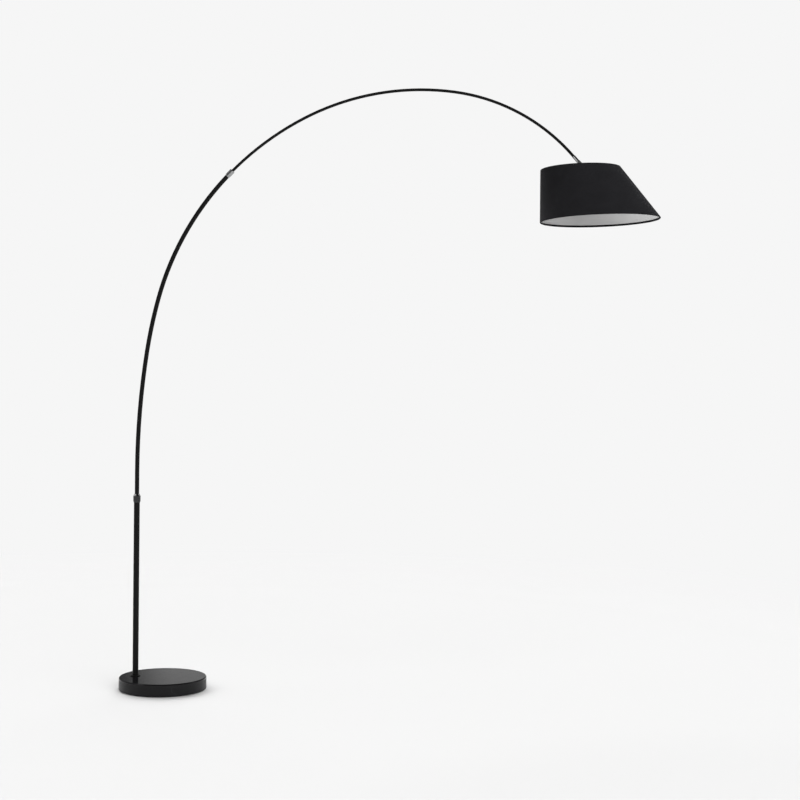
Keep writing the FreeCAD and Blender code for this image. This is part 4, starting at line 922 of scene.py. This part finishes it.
def cloth_map(angle, middle, wall_start):
    """Where each point of the cloth lies in its flat cut, in metres.  The wall is part of a
    cone, so it rolls out flat round the cone's apex: the turn is the sum of the small
    angles seen from there, and the turn-ins run on along the same lines."""
    share = TOP_RADIUS / (FOOT_RADIUS - TOP_RADIUS)
    apex_level = TOP_LEVEL + (TOP_LEVEL - FOOT_LEVEL) * share
    apex = np.array([-FOOT_SHIFT * share, 0, apex_level])
    closed = np.append(angle, angle[0] + 2 * math.pi)
    spoke = unit(rim(closed, FOOT_LEVEL) - apex)
    turns = np.arccos(np.clip((spoke[1:] * spoke[:-1]).sum(-1), -1, 1))
    turn = np.concatenate([[0], np.cumsum(turns)])
    turn -= turn[-1] / 2
    middle = np.concatenate([middle, middle[:1]])
    runs = np.linalg.norm(np.diff(middle, axis=1), axis=-1)
    along = np.concatenate([np.zeros((len(middle), 1)), np.cumsum(runs, axis=1)], 1)
    from_apex = np.linalg.norm(middle[:, wall_start] - apex, axis=-1)[:, None]
    far = (from_apex + along[:, wall_start:wall_start + 1] - along) * MM
    flat = np.stack([far * np.sin(turn)[:, None], far * np.cos(turn)[:, None]], -1)
    return np.concatenate([flat, flat[:, ::-1], flat[:, :1]], 1)


def shade_film():
    """The lining: the wall drawn in by the cloth and its glue, half a millimetre thick,
    with its edge lapped on the inside.  It stops beside the wires, inside the hems."""
    angle = round_samples(FILM_SEAM, FILM_LAP_WIDTH)
    level = np.linspace(FOOT_LEVEL + WIRE, TOP_LEVEL - WIRE, FILM_STEPS)
    grid_angle, grid_level = np.meshgrid(angle, level, indexing="ij")
    lap = raised(grid_angle, grid_level, FILM_SEAM, FILM_LAP_WIDTH, FILM_LAP_HEIGHT)
    outer = rim(grid_angle, grid_level, SKIN + GLUE)
    inner = rim(grid_angle, grid_level, SKIN + GLUE + LINING + lap)
    points = np.concatenate([outer, inner[:, ::-1]], 1)
    return ring_surface("shade_film", head_to_row(points), "shade_lining", "shade_head")


# ---- lampholder, ring and welds ----
def spread(pairs, angles):
    """The same (radius, level) pairs at every angle."""
    return np.array(pairs)[None] + 0 * angles[..., None]


def threaded_skirt():
    """The lampholder's shell: a plain collar, a flange, and below it a rounded thread, a
    cosine wave whose crest climbs one pitch in a turn and dies away at both ends."""
    angles = full_turn(SHELL_STEPS)[:, None]
    level = np.linspace(*THREAD_RUN, THREAD_STEPS, endpoint=False)
    fade = step(*THREAD_STARTS, level) * step(*THREAD_ENDS, level)
    wave = 0.5 + 0.5 * np.cos(2 * math.pi * level / THREAD_PITCH - angles)
    groove = THREAD_DEPTH * wave * fade
    above = [(SHELL_BORE, SHELL_TOP), (SHELL_RADIUS - CORNER, SHELL_TOP),
             (SHELL_RADIUS, SHELL_TOP - CORNER), (SHELL_RADIUS, FLANGE_TOP + FILLET),
             (SHELL_RADIUS + FILLET, FLANGE_TOP), (FLANGE_RADIUS - FLANGE_CORNER, FLANGE_TOP),
             (FLANGE_RADIUS, FLANGE_TOP - FLANGE_CORNER),
             (FLANGE_RADIUS, FLANGE_FOOT + FLANGE_CORNER),
             (FLANGE_RADIUS - FLANGE_CORNER, FLANGE_FOOT),
             (SHELL_RADIUS + CORNER, FLANGE_FOOT), (SHELL_RADIUS, FLANGE_FOOT - CORNER)]
    below = [(SHELL_RADIUS - FILLET, SHELL_FOOT), (SHELL_BORE + CORNER, SHELL_FOOT),
             (SHELL_BORE, SHELL_FOOT + CORNER), (SHELL_BORE, FLANGE_FOOT),
             (SHELL_BORE, SHELL_TOP - CORNER)]
    thread = np.stack([SHELL_RADIUS - THREAD_SINK - groove, level + 0 * angles], -1)
    profile = np.concatenate([spread(above, angles), thread, spread(below, angles)], 1)
    return turned_ring("threaded_skirt", profile[:, ::-1], "holder_plastic", angles)


def ribbed_ring():
    """The ring that holds the shade up on the lampholder: a flange on a body whose grip is
    rounded ribs, a cosine wave round it."""
    angles = full_turn(RING_RIBS * RIB_STEPS)[:, None]
    rib = RIB_DEPTH * (0.5 + 0.5 * np.cos(RING_RIBS * angles))
    inner = SHELL_RADIUS + RING_FIT
    rim_side, body_side = RING_RIM - FLANGE_CORNER, RING_BODY + FLANGE_CORNER
    # Each corner: radius, level, and how much of the ribs shows there.
    corners = [(inner, RING_TOP - FILLET, 0), (inner + FILLET, RING_TOP, 0),
               (rim_side, RING_TOP, 0), (RING_RIM, RING_TOP - FLANGE_CORNER, 0.4),
               (RING_RIM, RING_STEP + FLANGE_CORNER, 0.4), (rim_side, RING_STEP, 0.2),
               (body_side, RING_STEP, 0.3), (RING_BODY, RING_STEP - RIB_ENDS[0], 1),
               (RING_BODY, RING_FOOT + RIB_ENDS[1], 1),
               (RING_BODY - CORNER, RING_FOOT + CORNER, 0.7),
               (RING_BODY - RING_CHAMFER, RING_FOOT, 0.2), (inner + FILLET, RING_FOOT, 0),
               (inner, RING_FOOT + FILLET, 0)]
    table = np.array(corners)
    radius = table[:, 0] - rib * table[:, 2]
    profile = np.stack([radius, table[:, 1] + 0 * rib], -1)
    return turned_ring("ribbed_ring", profile[:, ::-1], "holder_plastic", angles)


def weld_bead(name, arm):
    """A collar of weld where an arm meets the top hoop: a ring round the arm's axis whose
    thickness wanders by sine waves as it goes round."""
    turn = math.radians(arm)
    away = np.array([math.cos(turn), math.sin(turn), 0])
    knee = away * ARM_KNEE + (0, 0, ARM_LEVEL)
    tip = hoop_line(np.array([turn]), TOP_LEVEL - GLUE - WIRE)[0]
    axis = unit(tip - knee)
    centre = tip - axis * (WIRE + BEAD_BACK)
    side = unit(np.cross(axis, (0, 0, 1.0)))
    other = np.cross(axis, side)
    u, v = full_turn(BEAD_STEPS)[:, None], full_turn(BEAD_SECTION)
    thick = BEAD_THICK + 0 * u
    for size, waves, start in BEAD_WANDER:
        thick = thick + size * np.sin(waves * u + start * arm)
    radius = (WIRE - BEAD_SINK + thick * np.cos(v))[..., None]
    round_ = np.cos(u)[..., None] * side + np.sin(u)[..., None] * other
    along = (thick * BEAD_STRETCH * np.sin(v))[..., None] * axis
    return ring_surface(name, head_to_row(centre + radius * round_ + along), "white_wire",
                        "shade_head")


# ---- felt pad ----
def felt_disc():
    """A disc of felt: a half section turned about the stone's axis, its edge uneven by sine
    waves from the cut and pressed round, both middles closed with a fan."""
    angles = full_turn(FELT_STEPS)[:, None]
    ragged = sum(size * np.sin(waves * angles + start) for size, waves, start in RAGGED)
    shape = np.array(FELT_SECTION)
    radius = shape[:, 0] * (PAD_RADIUS - PAD_SHRINK + ragged)
    level = shape[:, 1] * PAD_THICKNESS + 0 * angles
    points = np.stack([radius * np.cos(angles), radius * np.sin(angles), level], -1)
    rows, columns = points.shape[:2]
    faces, _, j = grid_faces(rows, columns)
    quads = faces[j.ravel() < columns - 1].tolist()
    middle = [[0, 0, 0], [0, 0, PAD_THICKNESS]]
    i = np.arange(rows)
    near = (i + 1) % rows
    low = np.stack([near * columns, i * columns, 0 * i + rows * columns], -1).tolist()
    high = np.stack([i * columns, near * columns, 0 * i + rows * columns + 1], -1)
    high[:, :2] += columns - 1
    every = np.concatenate([points.reshape(-1, 3), middle]) * MM
    return piece("felt_disc", every, quads + low + high.tolist(), "foot_felt", "stand")


# ======================================================================
# The pieces, and the solids that they stand for
# ======================================================================
cloth = shade_cloth()
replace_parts(cloth, "shade_cover", "top_hem", "bottom_hem")
film = shade_film()
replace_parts(film, "shade_liner")
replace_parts(threaded_skirt(), "holder_shell")
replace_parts(ribbed_ring(), "shade_ring")
for number, arm_angle in enumerate(ARM_ANGLES, 1):
    weld_bead("weld_bead_%d" % number, arm_angle)
felt = felt_disc()
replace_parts(felt, "foot_pad")
